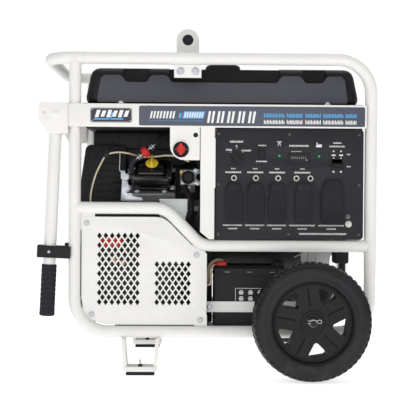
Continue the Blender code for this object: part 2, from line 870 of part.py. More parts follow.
def make_wheel(side):
    name = side_name(side)
    half = tyre_width / 2
    centre = (wheel_x, side * wheel_y, wheel_radius)
    bead = rim_radius + 0.0005
    right_side = [
        (wheel_radius, 0.0), (wheel_radius, 0.022), (0.150, 0.034), (0.137, half), (0.118, 0.038),
    ]
    left_side = [(radius, -height) for radius, height in reversed(right_side[1:])]
    profile = [(bead, 0.030), *reversed(right_side), *reversed(left_side), (bead, -0.030)]
    tyre = turned("wheel_tyre_" + name, profile, 40, tyre_rubber, closed=True)
    place(tyre, centre, (math.pi / 2, 0, 0))
    windows = [window_outline(math.radians(63 + 72 * k)) for k in range(5)]
    outlines = [circle(0, 0, rim_radius, 40), circle(0, 0, stub_radius + 0.0005, 16), *windows]
    rim = flat_piece("wheel_rim_" + name, outlines, 0.050, black)
    place(rim, centre, (math.pi / 2, 0, 0))
    rim = as_mesh(rim)
    pivot("wheel_pivot_" + name, centre, [tyre, rim])


clear_scene()
parts = new_collection("portable_generator")
white = paint("white_powder_coat", (0.82, 0.81, 0.78), 0.35)
black = paint("black_plastic", (0.025, 0.026, 0.030), 0.45)
panel_grey = paint("panel_grey", (0.045, 0.047, 0.052), 0.5)
rubber = paint("black_rubber", (0.03, 0.03, 0.033), 0.7)
tyre_rubber = paint("tyre_rubber", (0.035, 0.036, 0.04), 0.75)
tank_grey = paint("tank_grey", (0.06, 0.062, 0.07), 0.35)
aluminium = paint("cast_aluminium", (0.45, 0.45, 0.45), 0.5, 0.9)
steel = paint("steel", (0.5, 0.5, 0.5), 0.35, 1.0)
dark_steel = paint("dark_steel", (0.05, 0.05, 0.05), 0.55, 0.8)
red = paint("red_plastic", (0.75, 0.03, 0.03), 0.4)
yellow = paint("yellow_plastic", (0.70, 0.52, 0.02), 0.4)
cream = paint("cream_sleeve", (0.70, 0.58, 0.40), 0.6)

for each_side in (-1, 1):
    make_side_hoop(each_side)
    make_mid_rail(each_side)
    make_foot(each_side)
    make_handle_bracket(each_side)
    make_handle(each_side)
    make_wheel(each_side)
    make_cylinder_bank(each_side)
make_end_loop()
make_cradle()
make_fascia()
make_rear_fascia()
make_heat_shield()
make_axle()
make_tank()
make_filler_cap()
make_crossbar()
make_outlet_covers()
make_control_panel()
make_panel_box()
make_buttons()
make_engine_switch()
make_mode_rocker()
make_main_breaker_toggle()
make_fuel_selector()
make_crankcase()
make_dipstick()
make_blower_shroud()
make_alternator()
make_crankshaft()
make_engine_covers()
make_battery()
make_cables()
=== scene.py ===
import json
import math
import bpy
from mathutils import Matrix, Vector

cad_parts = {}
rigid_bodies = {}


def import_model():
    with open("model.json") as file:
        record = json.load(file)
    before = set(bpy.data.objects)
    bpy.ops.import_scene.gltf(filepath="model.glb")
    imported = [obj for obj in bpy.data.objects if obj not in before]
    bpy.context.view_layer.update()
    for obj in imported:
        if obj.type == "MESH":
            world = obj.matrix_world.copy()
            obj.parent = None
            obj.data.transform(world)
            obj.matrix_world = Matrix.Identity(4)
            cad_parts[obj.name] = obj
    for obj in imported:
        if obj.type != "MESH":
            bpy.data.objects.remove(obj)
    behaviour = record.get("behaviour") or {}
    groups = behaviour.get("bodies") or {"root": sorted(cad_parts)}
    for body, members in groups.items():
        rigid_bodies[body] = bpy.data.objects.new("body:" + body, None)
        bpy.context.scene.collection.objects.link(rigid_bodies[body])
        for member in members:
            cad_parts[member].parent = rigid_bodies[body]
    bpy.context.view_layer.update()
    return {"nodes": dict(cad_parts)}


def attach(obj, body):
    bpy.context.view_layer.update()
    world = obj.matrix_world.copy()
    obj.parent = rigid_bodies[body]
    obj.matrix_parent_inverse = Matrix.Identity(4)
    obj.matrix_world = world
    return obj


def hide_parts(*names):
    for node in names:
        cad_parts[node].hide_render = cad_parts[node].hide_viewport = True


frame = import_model()
print("frame loaded:", len(frame["nodes"]), "nodes")

# values the whole generator shares, in metres
sideY = 0.25                 # middle of the front and rear tube frames
tubeRadius = 0.016
fasciaY = -0.269             # front of the white fascia
panelY = -0.262              # front of the control panel
frontUp = (math.radians(90), 0, 0)


# shader helpers
class Flow:
    def __init__(self, tree, socket=None):
        self.tree = tree
        self.socket = socket

    def node(self, kind, settings=None, inputs=None, output=0):
        made = self.tree.nodes.new(kind)
        for key, value in (settings or {}).items():
            if key == "stops":
                ramp = made.color_ramp
                while len(ramp.elements) < len(value):
                    ramp.elements.new(0.5)
                for element, (position, colour) in zip(ramp.elements, value):
                    element.position = position
                    element.color = colour
            else:
                setattr(made, key, value)
        for key, value in (inputs or {}).items():
            if isinstance(value, Flow):
                self.tree.links.new(value.socket, made.inputs[key])
            else:
                made.inputs[key].default_value = value
        return Flow(self.tree, made.outputs[output])

    def sum(self, operation, first, second=0.5, clamp=False):
        return self.node("ShaderNodeMath", {"operation": operation, "use_clamp": clamp}, {0: first, 1: second})

    def __add__(self, other):
        return self.sum("ADD", self, other)

    def __sub__(self, other):
        return self.sum("SUBTRACT", self, other)

    def __mul__(self, other):
        return self.sum("MULTIPLY", self, other)

    def __truediv__(self, other):
        return self.sum("DIVIDE", self, other)

    def __radd__(self, other):
        return self.sum("ADD", other, self)

    def __rsub__(self, other):
        return self.sum("SUBTRACT", other, self)

    def __rmul__(self, other):
        return self.sum("MULTIPLY", other, self)

    def __gt__(self, other):
        return self.sum("GREATER_THAN", self, other)

    def __lt__(self, other):
        return self.sum("LESS_THAN", self, other)

    def clamp(self):
        return self.sum("ADD", self, 0.0, clamp=True)

    def place(self):
        return self.node("ShaderNodeTexCoord", output="Object")

    def axis(self, name):
        return self.node("ShaderNodeSeparateXYZ", inputs={0: self}, output=name)

    def noise(self, scale, detail=3.0, stretch=(1, 1, 1)):
        where = self.node("ShaderNodeMapping", inputs={"Vector": self.place(), "Scale": stretch})
        return self.node("ShaderNodeTexNoise", inputs={"Vector": where, "Scale": scale, "Detail": detail})

    def blend(self, factor, first, second):
        settings = {"data_type": "RGBA"}
        inputs = {0: factor, 6: first, 7: second}
        return self.node("ShaderNodeMix", settings, inputs, output=2)


def rgb(red, green, blue):
    return red, green, blue, 1.0


# one finish: two tones that drift over the surface, a grain, and a roughness that varies with both
def makeFinish(name, values):
    material = bpy.data.materials.new(name)
    material.use_nodes = True
    shader = material.node_tree.nodes["Principled BSDF"]
    flow = Flow(material.node_tree)
    patch = flow.noise(values.get("patch", 9.0), 4.0, values.get("stretch", (1, 1, 1)))
    grain = flow.noise(values.get("grain", 900.0), 2.0, values.get("stretch", (1, 1, 1)))
    tone = ((patch - 0.5) * 2.2 + 0.5 + (grain - 0.5) * values.get("speck", 0.25)).clamp()
    colour = flow.blend(tone, rgb(*values["colour"]), rgb(*values["drift"]))
    rough = (patch - 0.5) * values.get("spread", 0.12) + values["rough"] + (grain - 0.5) * values.get("spread", 0.12)
    dust = values.get("dust", 0.0)
    if dust:             # a little grey dust that gathers low on the machine
        height = flow.place().axis("Z")
        low = (1 - height / values.get("dustTop", 0.35)).clamp()
        mottle = ((flow.noise(38.0, 5.0) - 0.42) * 4.0).clamp()
        film = low * low * mottle * dust
        colour = flow.blend(film, colour, rgb(0.36, 0.34, 0.31))
        rough = rough + film * 0.3
    bump = flow.node("ShaderNodeBump", inputs={
        "Height": grain, "Strength": values.get("bump", 0.12), "Distance": values.get("depth", 0.0004)})
    shader.inputs["Metallic"].default_value = values.get("metal", 0.0)
    shader.inputs["Coat Weight"].default_value = values.get("coat", 0.0)
    shader.inputs["Coat Roughness"].default_value = values.get("coatRough", 0.15)
    shader.inputs["Specular IOR Level"].default_value = values.get("specular", 0.5)
    link = material.node_tree.links.new
    link(colour.socket, shader.inputs["Base Color"])
    link(rough.clamp().socket, shader.inputs["Roughness"])
    link(bump.socket, shader.inputs["Normal"])
    return material


whitePowder = makeFinish("white_powder_coat", {
    "colour": (0.83, 0.82, 0.79), "drift": (0.80, 0.79, 0.76), "rough": 0.42, "spread": 0.10,
    "grain": 620.0, "bump": 0.10, "depth": 0.0003, "speck": 0.1, "dust": 0.12})
blackMould = makeFinish("black_moulded_plastic", {
    "specular": 0.22, "colour": (0.012, 0.012, 0.014), "drift": (0.018, 0.018, 0.020), "rough": 0.52, "grain": 1500.0,
    "bump": 0.25, "depth": 0.0002})
glossBlack = makeFinish("gloss_black_enamel", {
    "colour": (0.006, 0.006, 0.007), "drift": (0.010, 0.010, 0.011), "rough": 0.22, "spread": 0.08,
    "grain": 500.0, "bump": 0.06, "coat": 0.5})
panelPaint = makeFinish("panel_grey_paint", {
    "specular": 0.22, "colour": (0.016, 0.016, 0.020), "drift": (0.022, 0.022, 0.027), "rough": 0.42, "grain": 1300.0,
    "bump": 0.22, "depth": 0.0002, "patch": 6.0})
tankPlastic = makeFinish("tank_grey_plastic", {
    "specular": 0.22, "colour": (0.008, 0.008, 0.010), "drift": (0.014, 0.014, 0.016), "rough": 0.36, "grain": 1100.0,
    "bump": 0.2, "depth": 0.0002, "patch": 5.0})
softRubber = makeFinish("soft_black_rubber", {
    "specular": 0.22, "colour": (0.015, 0.015, 0.019), "drift": (0.023, 0.023, 0.028), "rough": 0.70, "grain": 1200.0,
    "bump": 0.3, "depth": 0.0003})
tyreRubber = makeFinish("tyre_rubber", {
    "specular": 0.26, "colour": (0.0070, 0.0070, 0.0085), "drift": (0.016, 0.016, 0.019), "rough": 0.34, "grain": 800.0,
    "bump": 0.35, "depth": 0.0004, "dust": 0.05, "dustTop": 0.20})
rimPlastic = makeFinish("wheel_rim_plastic", {
    "specular": 0.22, "colour": (0.009, 0.009, 0.010), "drift": (0.014, 0.014, 0.016), "rough": 0.46, "grain": 1000.0,
    "bump": 0.2, "depth": 0.0002})
castAlloy = makeFinish("cast_alloy", {
    "colour": (0.42, 0.42, 0.43), "drift": (0.52, 0.52, 0.53), "rough": 0.48, "spread": 0.2, "metal": 0.85,
    "grain": 700.0, "bump": 0.5, "depth": 0.0004, "patch": 22.0})
zincSteel = makeFinish("bright_zinc_steel", {
    "colour": (0.46, 0.49, 0.53), "drift": (0.54, 0.56, 0.59), "rough": 0.34, "spread": 0.06, "speck": 0.08,
    "metal": 0.75,
    "grain": 900.0, "bump": 0.15, "patch": 60.0})
exhaustMetal = makeFinish("heat_darkened_steel", {
    "colour": (0.022, 0.020, 0.019), "drift": (0.055, 0.047, 0.040), "rough": 0.55, "spread": 0.25, "metal": 0.4,
    "grain": 500.0, "bump": 0.35, "patch": 16.0, "speck": 0.8})
darkSteel = makeFinish("dark_painted_steel", {
    "specular": 0.22, "colour": (0.012, 0.012, 0.013), "drift": (0.022, 0.022, 0.023), "rough": 0.5, "spread": 0.2,
    "grain": 600.0, "bump": 0.25, "patch": 14.0})
redPlastic = makeFinish("red_plastic", {
    "colour": (0.62, 0.022, 0.018), "drift": (0.52, 0.018, 0.015), "rough": 0.42, "grain": 900.0, "specular": 0.3})
yellowPlastic = makeFinish("yellow_plastic", {
    "colour": (0.90, 0.68, 0.05), "drift": (0.84, 0.60, 0.04), "rough": 0.38, "grain": 800.0})
creamSleeve = makeFinish("cream_sleeve", {
    "colour": (0.66, 0.58, 0.42), "drift": (0.54, 0.46, 0.32), "rough": 0.6, "grain": 700.0, "bump": 0.3})
greyPlastic = makeFinish("pale_grey_plastic", {
    "colour": (0.66, 0.69, 0.69), "drift": (0.74, 0.77, 0.77), "rough": 0.5, "grain": 900.0})
slateFilm = makeFinish("slate_label_film", {
    "colour": (0.046, 0.054, 0.084), "drift": (0.053, 0.062, 0.094), "rough": 0.30, "spread": 0.06,
    "grain": 300.0, "bump": 0.04, "speck": 0.1, "coat": 0.1})
darkFilm = makeFinish("dark_label_film", {
    "colour": (0.020, 0.022, 0.034), "drift": (0.027, 0.030, 0.042), "rough": 0.28, "spread": 0.06,
    "grain": 300.0, "bump": 0.04, "specular": 0.3, "coat": 0.05})
whiteInk = makeFinish("white_ink", {
    "colour": (0.86, 0.86, 0.86), "drift": (0.80, 0.80, 0.80), "rough": 0.45, "grain": 1500.0, "bump": 0.05})
blueInk = makeFinish("light_blue_ink", {
    "colour": (0.08, 0.40, 0.78), "drift": (0.07, 0.36, 0.72), "rough": 0.45, "grain": 1500.0, "bump": 0.05})
greenLens = makeFinish("green_lamp_lens", {
    "colour": (0.006, 0.30, 0.11), "drift": (0.010, 0.36, 0.13), "rough": 0.15, "grain": 400.0, "coat": 0.6})
meterGlass = makeFinish("meter_window", {
    "colour": (0.012, 0.014, 0.015), "drift": (0.016, 0.018, 0.019), "rough": 0.30, "spread": 0.04,
    "grain": 200.0, "bump": 0.03, "specular": 0.2})
brassMetal = makeFinish("aged_brass", {
    "colour": (0.62, 0.42, 0.16), "drift": (0.45, 0.28, 0.12), "rough": 0.4, "spread": 0.2, "metal": 0.9,
    "grain": 700.0, "patch": 40.0})
dullSteel = makeFinish("dull_plated_steel", {
    "colour": (0.075, 0.075, 0.070), "drift": (0.13, 0.13, 0.12), "rough": 0.42, "spread": 0.2, "metal": 0.6,
    "grain": 900.0, "bump": 0.2, "patch": 50.0})
paleSteel = makeFinish("pale_plated_steel", {
    "colour": (0.60, 0.58, 0.52), "drift": (0.68, 0.66, 0.60), "rough": 0.36, "spread": 0.1, "metal": 0.35,
    "grain": 900.0, "bump": 0.1, "patch": 50.0})
# the tank is the same dark plastic as its shell; this lighter grey paints the reflection on its front face, and the
# socket faces use it too
tankFaceSheen = makeFinish("tank_face_painted_sheen", {
    "specular": 0.22, "colour": (0.074, 0.076, 0.094), "drift": (0.088, 0.090, 0.109), "rough": 0.34, "grain": 1000.0,
    "bump": 0.15, "depth": 0.0002, "patch": 4.0, "speck": 0.1})
alternatorGrey = makeFinish("alternator_grey_casting", {
    "colour": (0.50, 0.49, 0.49), "drift": (0.60, 0.59, 0.59), "rough": 0.5, "spread": 0.18, "metal": 0.3,
    "grain": 700.0, "bump": 0.4, "depth": 0.0004, "patch": 22.0})
dimInk = makeFinish("dim_white_ink", {
    "colour": (0.35, 0.35, 0.36), "drift": (0.45, 0.45, 0.46), "rough": 0.5, "grain": 1500.0, "bump": 0.05})
deepBlack = makeFinish("deep_black_plastic", {
    "specular": 0.22, "colour": (0.006, 0.006, 0.006), "drift": (0.010, 0.010, 0.010), "rough": 0.6, "grain": 900.0})


# modelling helpers
def pickOnly(piece=None):
    bpy.ops.object.select_all(action="DESELECT")
    if piece:
        piece.select_set(True)
        bpy.context.view_layer.objects.active = piece


def settle(piece):
    pickOnly(piece)
    bpy.ops.object.transform_apply(location=True, rotation=True, scale=True)


def beginEdit(piece):
    pickOnly(piece)
    bpy.ops.object.mode_set(mode="EDIT")
    bpy.ops.mesh.select_all(action="SELECT")


def endEdit(facesOut=False):
    if facesOut:
        bpy.ops.mesh.select_all(action="SELECT")
        bpy.ops.mesh.normals_make_consistent(inside=False)
    bpy.ops.object.mode_set(mode="OBJECT")


# selects faces by a test on their middle and normal; used from object mode
def pickFaces(piece, test):
    for vertex in piece.data.vertices:
        vertex.select = False
    for edge in piece.data.edges:
        edge.select = False
    for face in piece.data.polygons:
        face.select = test(face.center, face.normal)
    pickOnly(piece)
    bpy.ops.object.mode_set(mode="EDIT")
    bpy.ops.mesh.select_mode(type="FACE")


def done(piece, material, body="frame", angle=35, node=None):
    pickOnly(piece)
    piece.data.materials.clear()
    piece.data.materials.append(material)
    bpy.ops.object.shade_smooth_by_angle(angle=math.radians(angle))
    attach(piece, body)
    if node:
        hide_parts(*([node] if isinstance(node, str) else node))
    return piece


def addBevel(piece, width, segments=2, angle=35):
    pickOnly(piece)
    bevel = piece.modifiers.new("edges", "BEVEL")
    bevel.width = width
    bevel.segments = segments
    bevel.limit_method = "ANGLE"
    bevel.angle_limit = math.radians(angle)
    bevel.use_clamp_overlap = True
    bpy.ops.object.modifier_apply(modifier=bevel.name)


def block(name, low, high, edge=0.001, segments=2):
    low, high = Vector(low), Vector(high)
    pickOnly()
    bpy.ops.mesh.primitive_cube_add(size=1, location=(low + high) / 2)
    piece = bpy.context.object
    piece.name = name
    piece.scale = high - low
    settle(piece)
    beginEdit(piece)
    if edge:
        bpy.ops.mesh.bevel(offset=edge, segments=segments)
    endEdit()
    return piece


# a round piece built up ring by ring from (radius, height) pairs, then stood at a place and turned
def turned(name, profile, at=(0, 0, 0), direction=(0, 0, 1), sides=32):
    pickOnly()
    radius, height = profile[0]
    bpy.ops.mesh.primitive_circle_add(vertices=sides, radius=radius, fill_type="NGON", location=(0, 0, height))
    piece = bpy.context.object
    piece.name = name
    settle(piece)
    beginEdit(piece)
    for nextRadius, nextHeight in profile[1:]:
        bpy.ops.mesh.extrude_region_move(TRANSFORM_OT_translate={"value": (0, 0, nextHeight - height)})
        scale = nextRadius / radius
        bpy.ops.transform.resize(value=(scale, scale, 1), center_override=(0, 0, nextHeight))
        radius, height = nextRadius, nextHeight
    endEdit(facesOut=True)
    standAt(piece, at, direction)
    return piece


def standAt(piece, at, direction=(0, 0, 1), spin=0.0):
    turn = Vector(direction).to_track_quat("Z", "Y").to_matrix().to_4x4()
    piece.matrix_world = Matrix.Translation(at) @ turn @ Matrix.Rotation(spin, 4, "Z")
    settle(piece)


def copyOf(piece, name):
    pickOnly(piece)
    bpy.ops.object.duplicate(linked=False)
    twin = bpy.context.object
    twin.name = name
    return twin


def joined(first, *others):
    pickOnly(first)
    for other in others:
        other.select_set(True)
    bpy.ops.object.join()
    return first


def remove(*things):
    pickOnly()
    for thing in things:
        thing.select_set(True)
    bpy.ops.object.delete()


# a tube through corners, bent to one radius at each
def bentTube(name, corners, bends, radius, sides=40, steps=14):
    points = [Vector(corner) for corner in corners]
    facing = (points[1] - points[0]).normalized().to_track_quat("Z", "Y").to_euler()
    pickOnly()
    bpy.ops.mesh.primitive_circle_add(
        vertices=sides, radius=radius, fill_type="NGON", location=points[0], rotation=facing)
    piece = bpy.context.object
    piece.name = name
    settle(piece)
    beginEdit(piece)
    here = points[0]
    for before, corner, after, bend in zip(points, points[1:], points[2:], bends):
        back = (before - corner).normalized()
        ahead = (after - corner).normalized()
        half = back.angle(ahead) / 2
        start = corner + back * bend / math.tan(half)
        centre = corner + (back + ahead).normalized() * bend / math.sin(half)
        bpy.ops.mesh.extrude_region_move(TRANSFORM_OT_translate={"value": start - here})
        bpy.ops.mesh.spin(steps=steps, angle=math.pi - 2 * half, center=centre, axis=back.cross(ahead))
        here = corner + ahead * bend / math.tan(half)
    bpy.ops.mesh.extrude_region_move(TRANSFORM_OT_translate={"value": points[-1] - here})
    endEdit(facesOut=True)
    return piece


# a wire, hose or lead along smooth points
def wire(name, points, radius, sides=4):
    pickOnly()
    bpy.ops.curve.primitive_bezier_curve_add()
    piece = bpy.context.object
    piece.name = name
    spline = piece.data.splines[0]
    spline.bezier_points.add(len(points) - 2)
    for knot, point in zip(spline.bezier_points, points):
        knot.co = point
        knot.handle_left_type = knot.handle_right_type = "AUTO"
    piece.data.dimensions = "3D"
    piece.data.resolution_u = 8
    piece.data.bevel_depth = radius
    piece.data.bevel_resolution = sides
    piece.data.use_fill_caps = True
    bpy.ops.object.convert(target="MESH")
    piece = bpy.context.object
    beginEdit(piece)
    bpy.ops.mesh.remove_doubles(threshold=0.00002)
    endEdit(facesOut=True)
    return piece


# a flat plate facing the front, with round corners, low and high as (x, z)
def facePlate(name, low, high, front, thickness, corner=0.0, edge=0.0, steps=5, rounded=None):
    pickOnly()
    middle = ((low[0] + high[0]) / 2, front, (low[1] + high[1]) / 2)
    bpy.ops.mesh.primitive_plane_add(size=1, location=middle, rotation=frontUp)
    piece = bpy.context.object
    piece.name = name
    piece.scale = (high[0] - low[0], high[1] - low[1], 1)
    settle(piece)
    beginEdit(piece)
    if corner:
        if rounded:
            bpy.ops.object.mode_set(mode="OBJECT")
            for vertex in piece.data.vertices:
                vertex.select = rounded(vertex.co)
            bpy.ops.object.mode_set(mode="EDIT")
            bpy.ops.mesh.select_mode(type="VERT")
        bpy.ops.mesh.bevel(offset=corner, segments=steps, affect="VERTICES")
        bpy.ops.mesh.select_all(action="SELECT")
    bpy.ops.mesh.extrude_region_move(TRANSFORM_OT_translate={"value": (0, thickness, 0)})
    endEdit(facesOut=True)
    if edge:
        addBevel(piece, edge, 2, 60)
    return piece


# a plate cut to any outline of (x, z) points, facing the front
def cutPlate(name, outline, front, thickness, edge=0.0):
    pickOnly()
    bpy.ops.mesh.primitive_circle_add(vertices=len(outline), radius=1, fill_type="NGON")
    piece = bpy.context.object
    piece.name = name
    for vertex, (x, z) in zip(piece.data.vertices, outline):
        vertex.co = (x, front, z)
    beginEdit(piece)
    bpy.ops.mesh.extrude_region_move(TRANSFORM_OT_translate={"value": (0, thickness, 0)})
    endEdit(facesOut=True)
    if edge:
        addBevel(piece, edge, 2, 25)
    return piece


# a ring of any section, spun right round an axis along Y; the section is (radius, y) pairs
def ringPiece(name, section, centre, steps=96):
    pickOnly()
    bpy.ops.mesh.primitive_circle_add(vertices=len(section), radius=1, fill_type="NOTHING")
    piece = bpy.context.object
    piece.name = name
    for vertex, (radius, y) in zip(piece.data.vertices, section):
        vertex.co = (centre[0] + radius, centre[1] + y, centre[2])
    beginEdit(piece)
    bpy.ops.mesh.spin(steps=steps, angle=2 * math.pi, center=centre, axis=(0, 1, 0))
    bpy.ops.mesh.select_all(action="SELECT")
    bpy.ops.mesh.remove_doubles(threshold=0.00001)
    endEdit(facesOut=True)
    return piece


# thin printed marks as one piece; each is (x, z, width, height, slant)
def printMarks(name, marks, front, material, body="frame", thickness=0.00012):
    pickOnly()
    bpy.ops.mesh.primitive_cube_add(size=1)
    piece = bpy.context.object
    piece.name = name
    settle(piece)
    beginEdit(piece)
    bpy.ops.mesh.delete(type="VERT")
    for x, z, width, height, *slant in marks:
        bpy.ops.mesh.primitive_cube_add(
            size=1, location=(x, front - thickness / 2, z), scale=(width, thickness, height))
        if slant and slant[0]:
            bpy.ops.object.mode_set(mode="OBJECT")
            for vertex in piece.data.vertices:
                if vertex.select:
                    vertex.co.x += slant[0] * (vertex.co.z - z) / height
            bpy.ops.object.mode_set(mode="EDIT")
    endEdit()
    return done(piece, material, body)


# a merged copy of a CAD node with its edges softened, which stands in for the node
def softened(node, material, body, width=0.001, segments=2, angle=35, flat=1.0):
    source = frame["nodes"][node]
    pickOnly(source)
    bpy.ops.object.duplicate(linked=False)
    piece = bpy.context.object
    piece.name = node + "_shell"
    bpy.ops.object.parent_clear(type="CLEAR_KEEP_TRANSFORM")
    beginEdit(piece)
    bpy.ops.mesh.remove_doubles(threshold=0.00002)
    bpy.ops.mesh.dissolve_limited(angle_limit=math.radians(flat))
    endEdit()
    if width:
        addBevel(piece, width, segments, angle)
    return done(piece, material, body, node=node)


def dress(node, material):
    target = frame["nodes"][node]
    for index in range(max(1, len(target.material_slots))):
        if not target.material_slots:
            target.data.materials.append(material)
        target.material_slots[index].link = "OBJECT"
        target.material_slots[index].material = material


# one flanged hex bolt head, standing on the origin; copies of it go everywhere
def boltHead(name, radius, height):
    flange = turned(name, [(radius * 1.32, 0), (radius * 1.32, height * 0.16), (radius * 1.12, height * 0.30)])
    crown = turned("crown", [(radius, height * 0.2), (radius, height * 0.84), (radius * 0.86, height),
                             (radius * 0.45, height), (radius * 0.40, height * 0.86)], sides=6)
    addBevel(crown, radius * 0.06, 2, 40)
    return joined(flange, crown)


def bolts(name, pattern, places, direction, material, body="frame"):
    for number, place in enumerate(places, 1):
        head = copyOf(pattern, name + "_" + str(number))
        standAt(head, place, direction, spin=0.4 * number)
        done(head, material, body)


smallBolt = boltHead("small_bolt", 0.0042, 0.0034)
mediumBolt = boltHead("medium_bolt", 0.0060, 0.0046)
largeBolt = boltHead("large_bolt", 0.0078, 0.0056)
screwHead = turned("screw_head", [(0.0042, 0), (0.0042, 0.0008), (0.0036, 0.0018), (0.0024, 0.0024),
                                  (0.0016, 0.0026), (0.0010, 0.0026), (0.0008, 0.0014)], sides=24)
toFront = (0, -1, 0)
toRear = (0, 1, 0)


# tube frame
frameValues = {
    "leftX": -0.354, "rightX": 0.436, "lowZ": 0.114, "topZ": 0.843, "bend": 0.09,
    "loopX": -0.426, "loopBend": 0.07, "jointX": -0.332,
    "midLeftZ": 0.444, "midRightZ": 0.345, "midBendFrom": -0.112, "midBendTo": -0.016, "midBend": 0.066,
}


# a weld bead on the saddle line where a tube meets another tube of the same size at a right angle
def saddleWeld(name, at, turn):
    pickOnly()
    bpy.ops.mesh.primitive_torus_add(
        major_segments=64, minor_segments=8, major_radius=tubeRadius, minor_radius=0.0013)
    piece = bpy.context.object
    piece.name = name
    for vertex in piece.data.vertices:
        ripple = 1 + 0.06 * math.sin(22 * math.atan2(vertex.co.y, vertex.co.x))
        vertex.co.x *= 1 + 0.3 * (ripple - 1)
        vertex.co.y *= 1 + 0.3 * (ripple - 1)
        vertex.co.z = vertex.co.z * ripple - abs(vertex.co.x)
    piece.matrix_world = Matrix.Translation(at) @ Matrix.Rotation(turn, 4, "Y")
    settle(piece)
    return done(piece, whitePowder)


def ringWeld(name, at, direction, radius=tubeRadius):
    pickOnly()
    bpy.ops.mesh.primitive_torus_add(
        major_segments=64, minor_segments=8, major_radius=radius, minor_radius=0.0013)
    piece = bpy.context.object
    piece.name = name
    for vertex in piece.data.vertices:
        vertex.co *= 1 + 0.012 * math.sin(26 * math.atan2(vertex.co.y, vertex.co.x))
    standAt(piece, at, direction)
    return done(piece, whitePowder)


def buildFrameTubes():
    v = frameValues
    for name, y in (("front", -sideY), ("rear", sideY)):
        corners = [(v["leftX"], y, v["topZ"]), (v["leftX"], y, v["lowZ"]), (v["rightX"], y, v["lowZ"]),
                   (v["rightX"], y, v["topZ"]), (v["jointX"], y, v["topZ"])]
        hoop = bentTube(name + "_hoop_tube", corners, [v["bend"]] * 3, tubeRadius)
        done(hoop, whitePowder, node=name + "_side_hoop")
        middle = [(v["leftX"], y, v["midLeftZ"]), (v["midBendFrom"], y, v["midLeftZ"]),
                  (v["midBendTo"], y, v["midRightZ"]), (v["rightX"], y, v["midRightZ"])]
        rail = bentTube(name + "_middle_tube", middle, [v["midBend"]] * 2, tubeRadius, steps=10)
        done(rail, whitePowder, node=name + "_mid_rail")
        saddleWeld(name + "_weld_top_left", (v["leftX"], y, v["topZ"]), 0)
        saddleWeld(name + "_weld_middle_left", (v["leftX"], y, v["midLeftZ"]), math.radians(-90))
        saddleWeld(name + "_weld_middle_right", (v["rightX"], y, v["midRightZ"]), math.radians(90))
        ringWeld(name + "_weld_loop", (v["jointX"], y, v["topZ"]), (1, 0, 0))
    corners = [(v["jointX"], -sideY, v["topZ"]), (v["loopX"], -sideY, v["topZ"]),
               (v["loopX"], sideY, v["topZ"]), (v["jointX"], sideY, v["topZ"])]
    done(bentTube("end_loop_tube", corners, [v["loopBend"]] * 2, tubeRadius), whitePowder, node="end_handle_loop")


buildFrameTubes()
print("tubes and welds ready")


# sheet metal and covers that keep the CAD shape, with softer edges
for node, material, body, width in (
        ("engine_cradle", whitePowder, "frame", 0.0015),
        ("front_fascia", whitePowder, "frame", 0.0006),
        ("rear_fascia", whitePowder, "frame", 0.0006),
        ("heat_shield", whitePowder, "frame", 0.0004),
        ("control_panel", panelPaint, "frame", 0.0005),
        ("panel_box", blackMould, "frame", 0.002),
        ("foot_bracket_front", whitePowder, "frame", 0.0010),
        ("foot_bracket_rear", whitePowder, "frame", 0.0010),
        ("foot_pad_front", softRubber, "frame", 0.0015),
        ("foot_pad_rear", softRubber, "frame", 0.0015),
        ("wheel_axle", darkSteel, "frame", 0.0008),
        ("fuel_tank", tankPlastic, "frame", 0.0020),
        ("lifting_crossbar", whitePowder, "frame", 0.0008),
        ("handle_bracket_front", whitePowder, "frame", 0.0006),
        ("handle_bracket_rear", whitePowder, "frame", 0.0006),
        ("handle_clip_front", blackMould, "handle_front", 0.0006),
        ("handle_clip_rear", blackMould, "handle_rear", 0.0006),
        ("crankcase", castAlloy, "frame", 0.003),
        ("front_cylinder", castAlloy, "frame", 0.0008),
        ("rear_cylinder", castAlloy, "frame", 0.0008),
        ("front_rocker_cover", glossBlack, "frame", 0.003),
        ("rear_rocker_cover", glossBlack, "frame", 0.003),
        ("air_cleaner", blackMould, "frame", 0.002),
        ("muffler", exhaustMetal, "frame", 0.002),
        ("battery_case", blackMould, "frame", 0.0015),
        ("battery_strap", whitePowder, "frame", 0.0006),
        ("breaker_button_1", blackMould, "breaker_1", 0.0004),
        ("breaker_button_2", blackMould, "breaker_2", 0.0004),
        ("breaker_button_3", blackMould, "breaker_3", 0.0004),
        ("breaker_button_4", blackMould, "breaker_4", 0.0004),
        ("breaker_button_5", blackMould, "breaker_5", 0.0004),
        ("mode_rocker", blackMould, "mode_switch", 0.0006),
        ("main_breaker_toggle", blackMould, "main_breaker", 0.0006)):
    softened(node, material, body, width)
for node, material in (
        ("blower_shroud", blackMould), ("crankshaft", darkSteel),
        ("battery_cable", creamSleeve),
        ("fuel_selector_knob", redPlastic), ("engine_switch_knob", blackMould)):
    dress(node, material)
print("CAD nodes dressed")


# label strip, badge and fuel selector on the fascia
labelValues = {
    "low": (-0.1835, 0.6630), "high": (0.4170, 0.7155), "film": 0.0003,
    "bigBars": (-0.002, 0.0233, 0.0504, 0.0784, 0.1062),
    "rows": ((0.1469, 0.2029), (0.2080, 0.2505), (0.2573, 0.2997), (0.3048, 0.3591), (0.3642, 0.3947)),
}


# upright ticks that fill a stretch, like a printed row seen from a distance
def tickRow(left, right, z, height, pitch=0.0040, width=0.0024):
    count = max(2, round((right - left) / pitch))
    step = (right - left) / count
    marks = []
    for number in range(count):
        tall = (1.0, 0.72, 1.0, 0.86)[number % 4]
        marks.append((left + (number + 0.5) * step, z - height * (1 - tall) / 2, width, height * tall, 0))
    return marks


def slantPair(x, z, width, height, lean):
    return [(x - width * 0.32, z, width * 0.36, height, lean), (x + width * 0.32, z, width * 0.36, height, lean)]


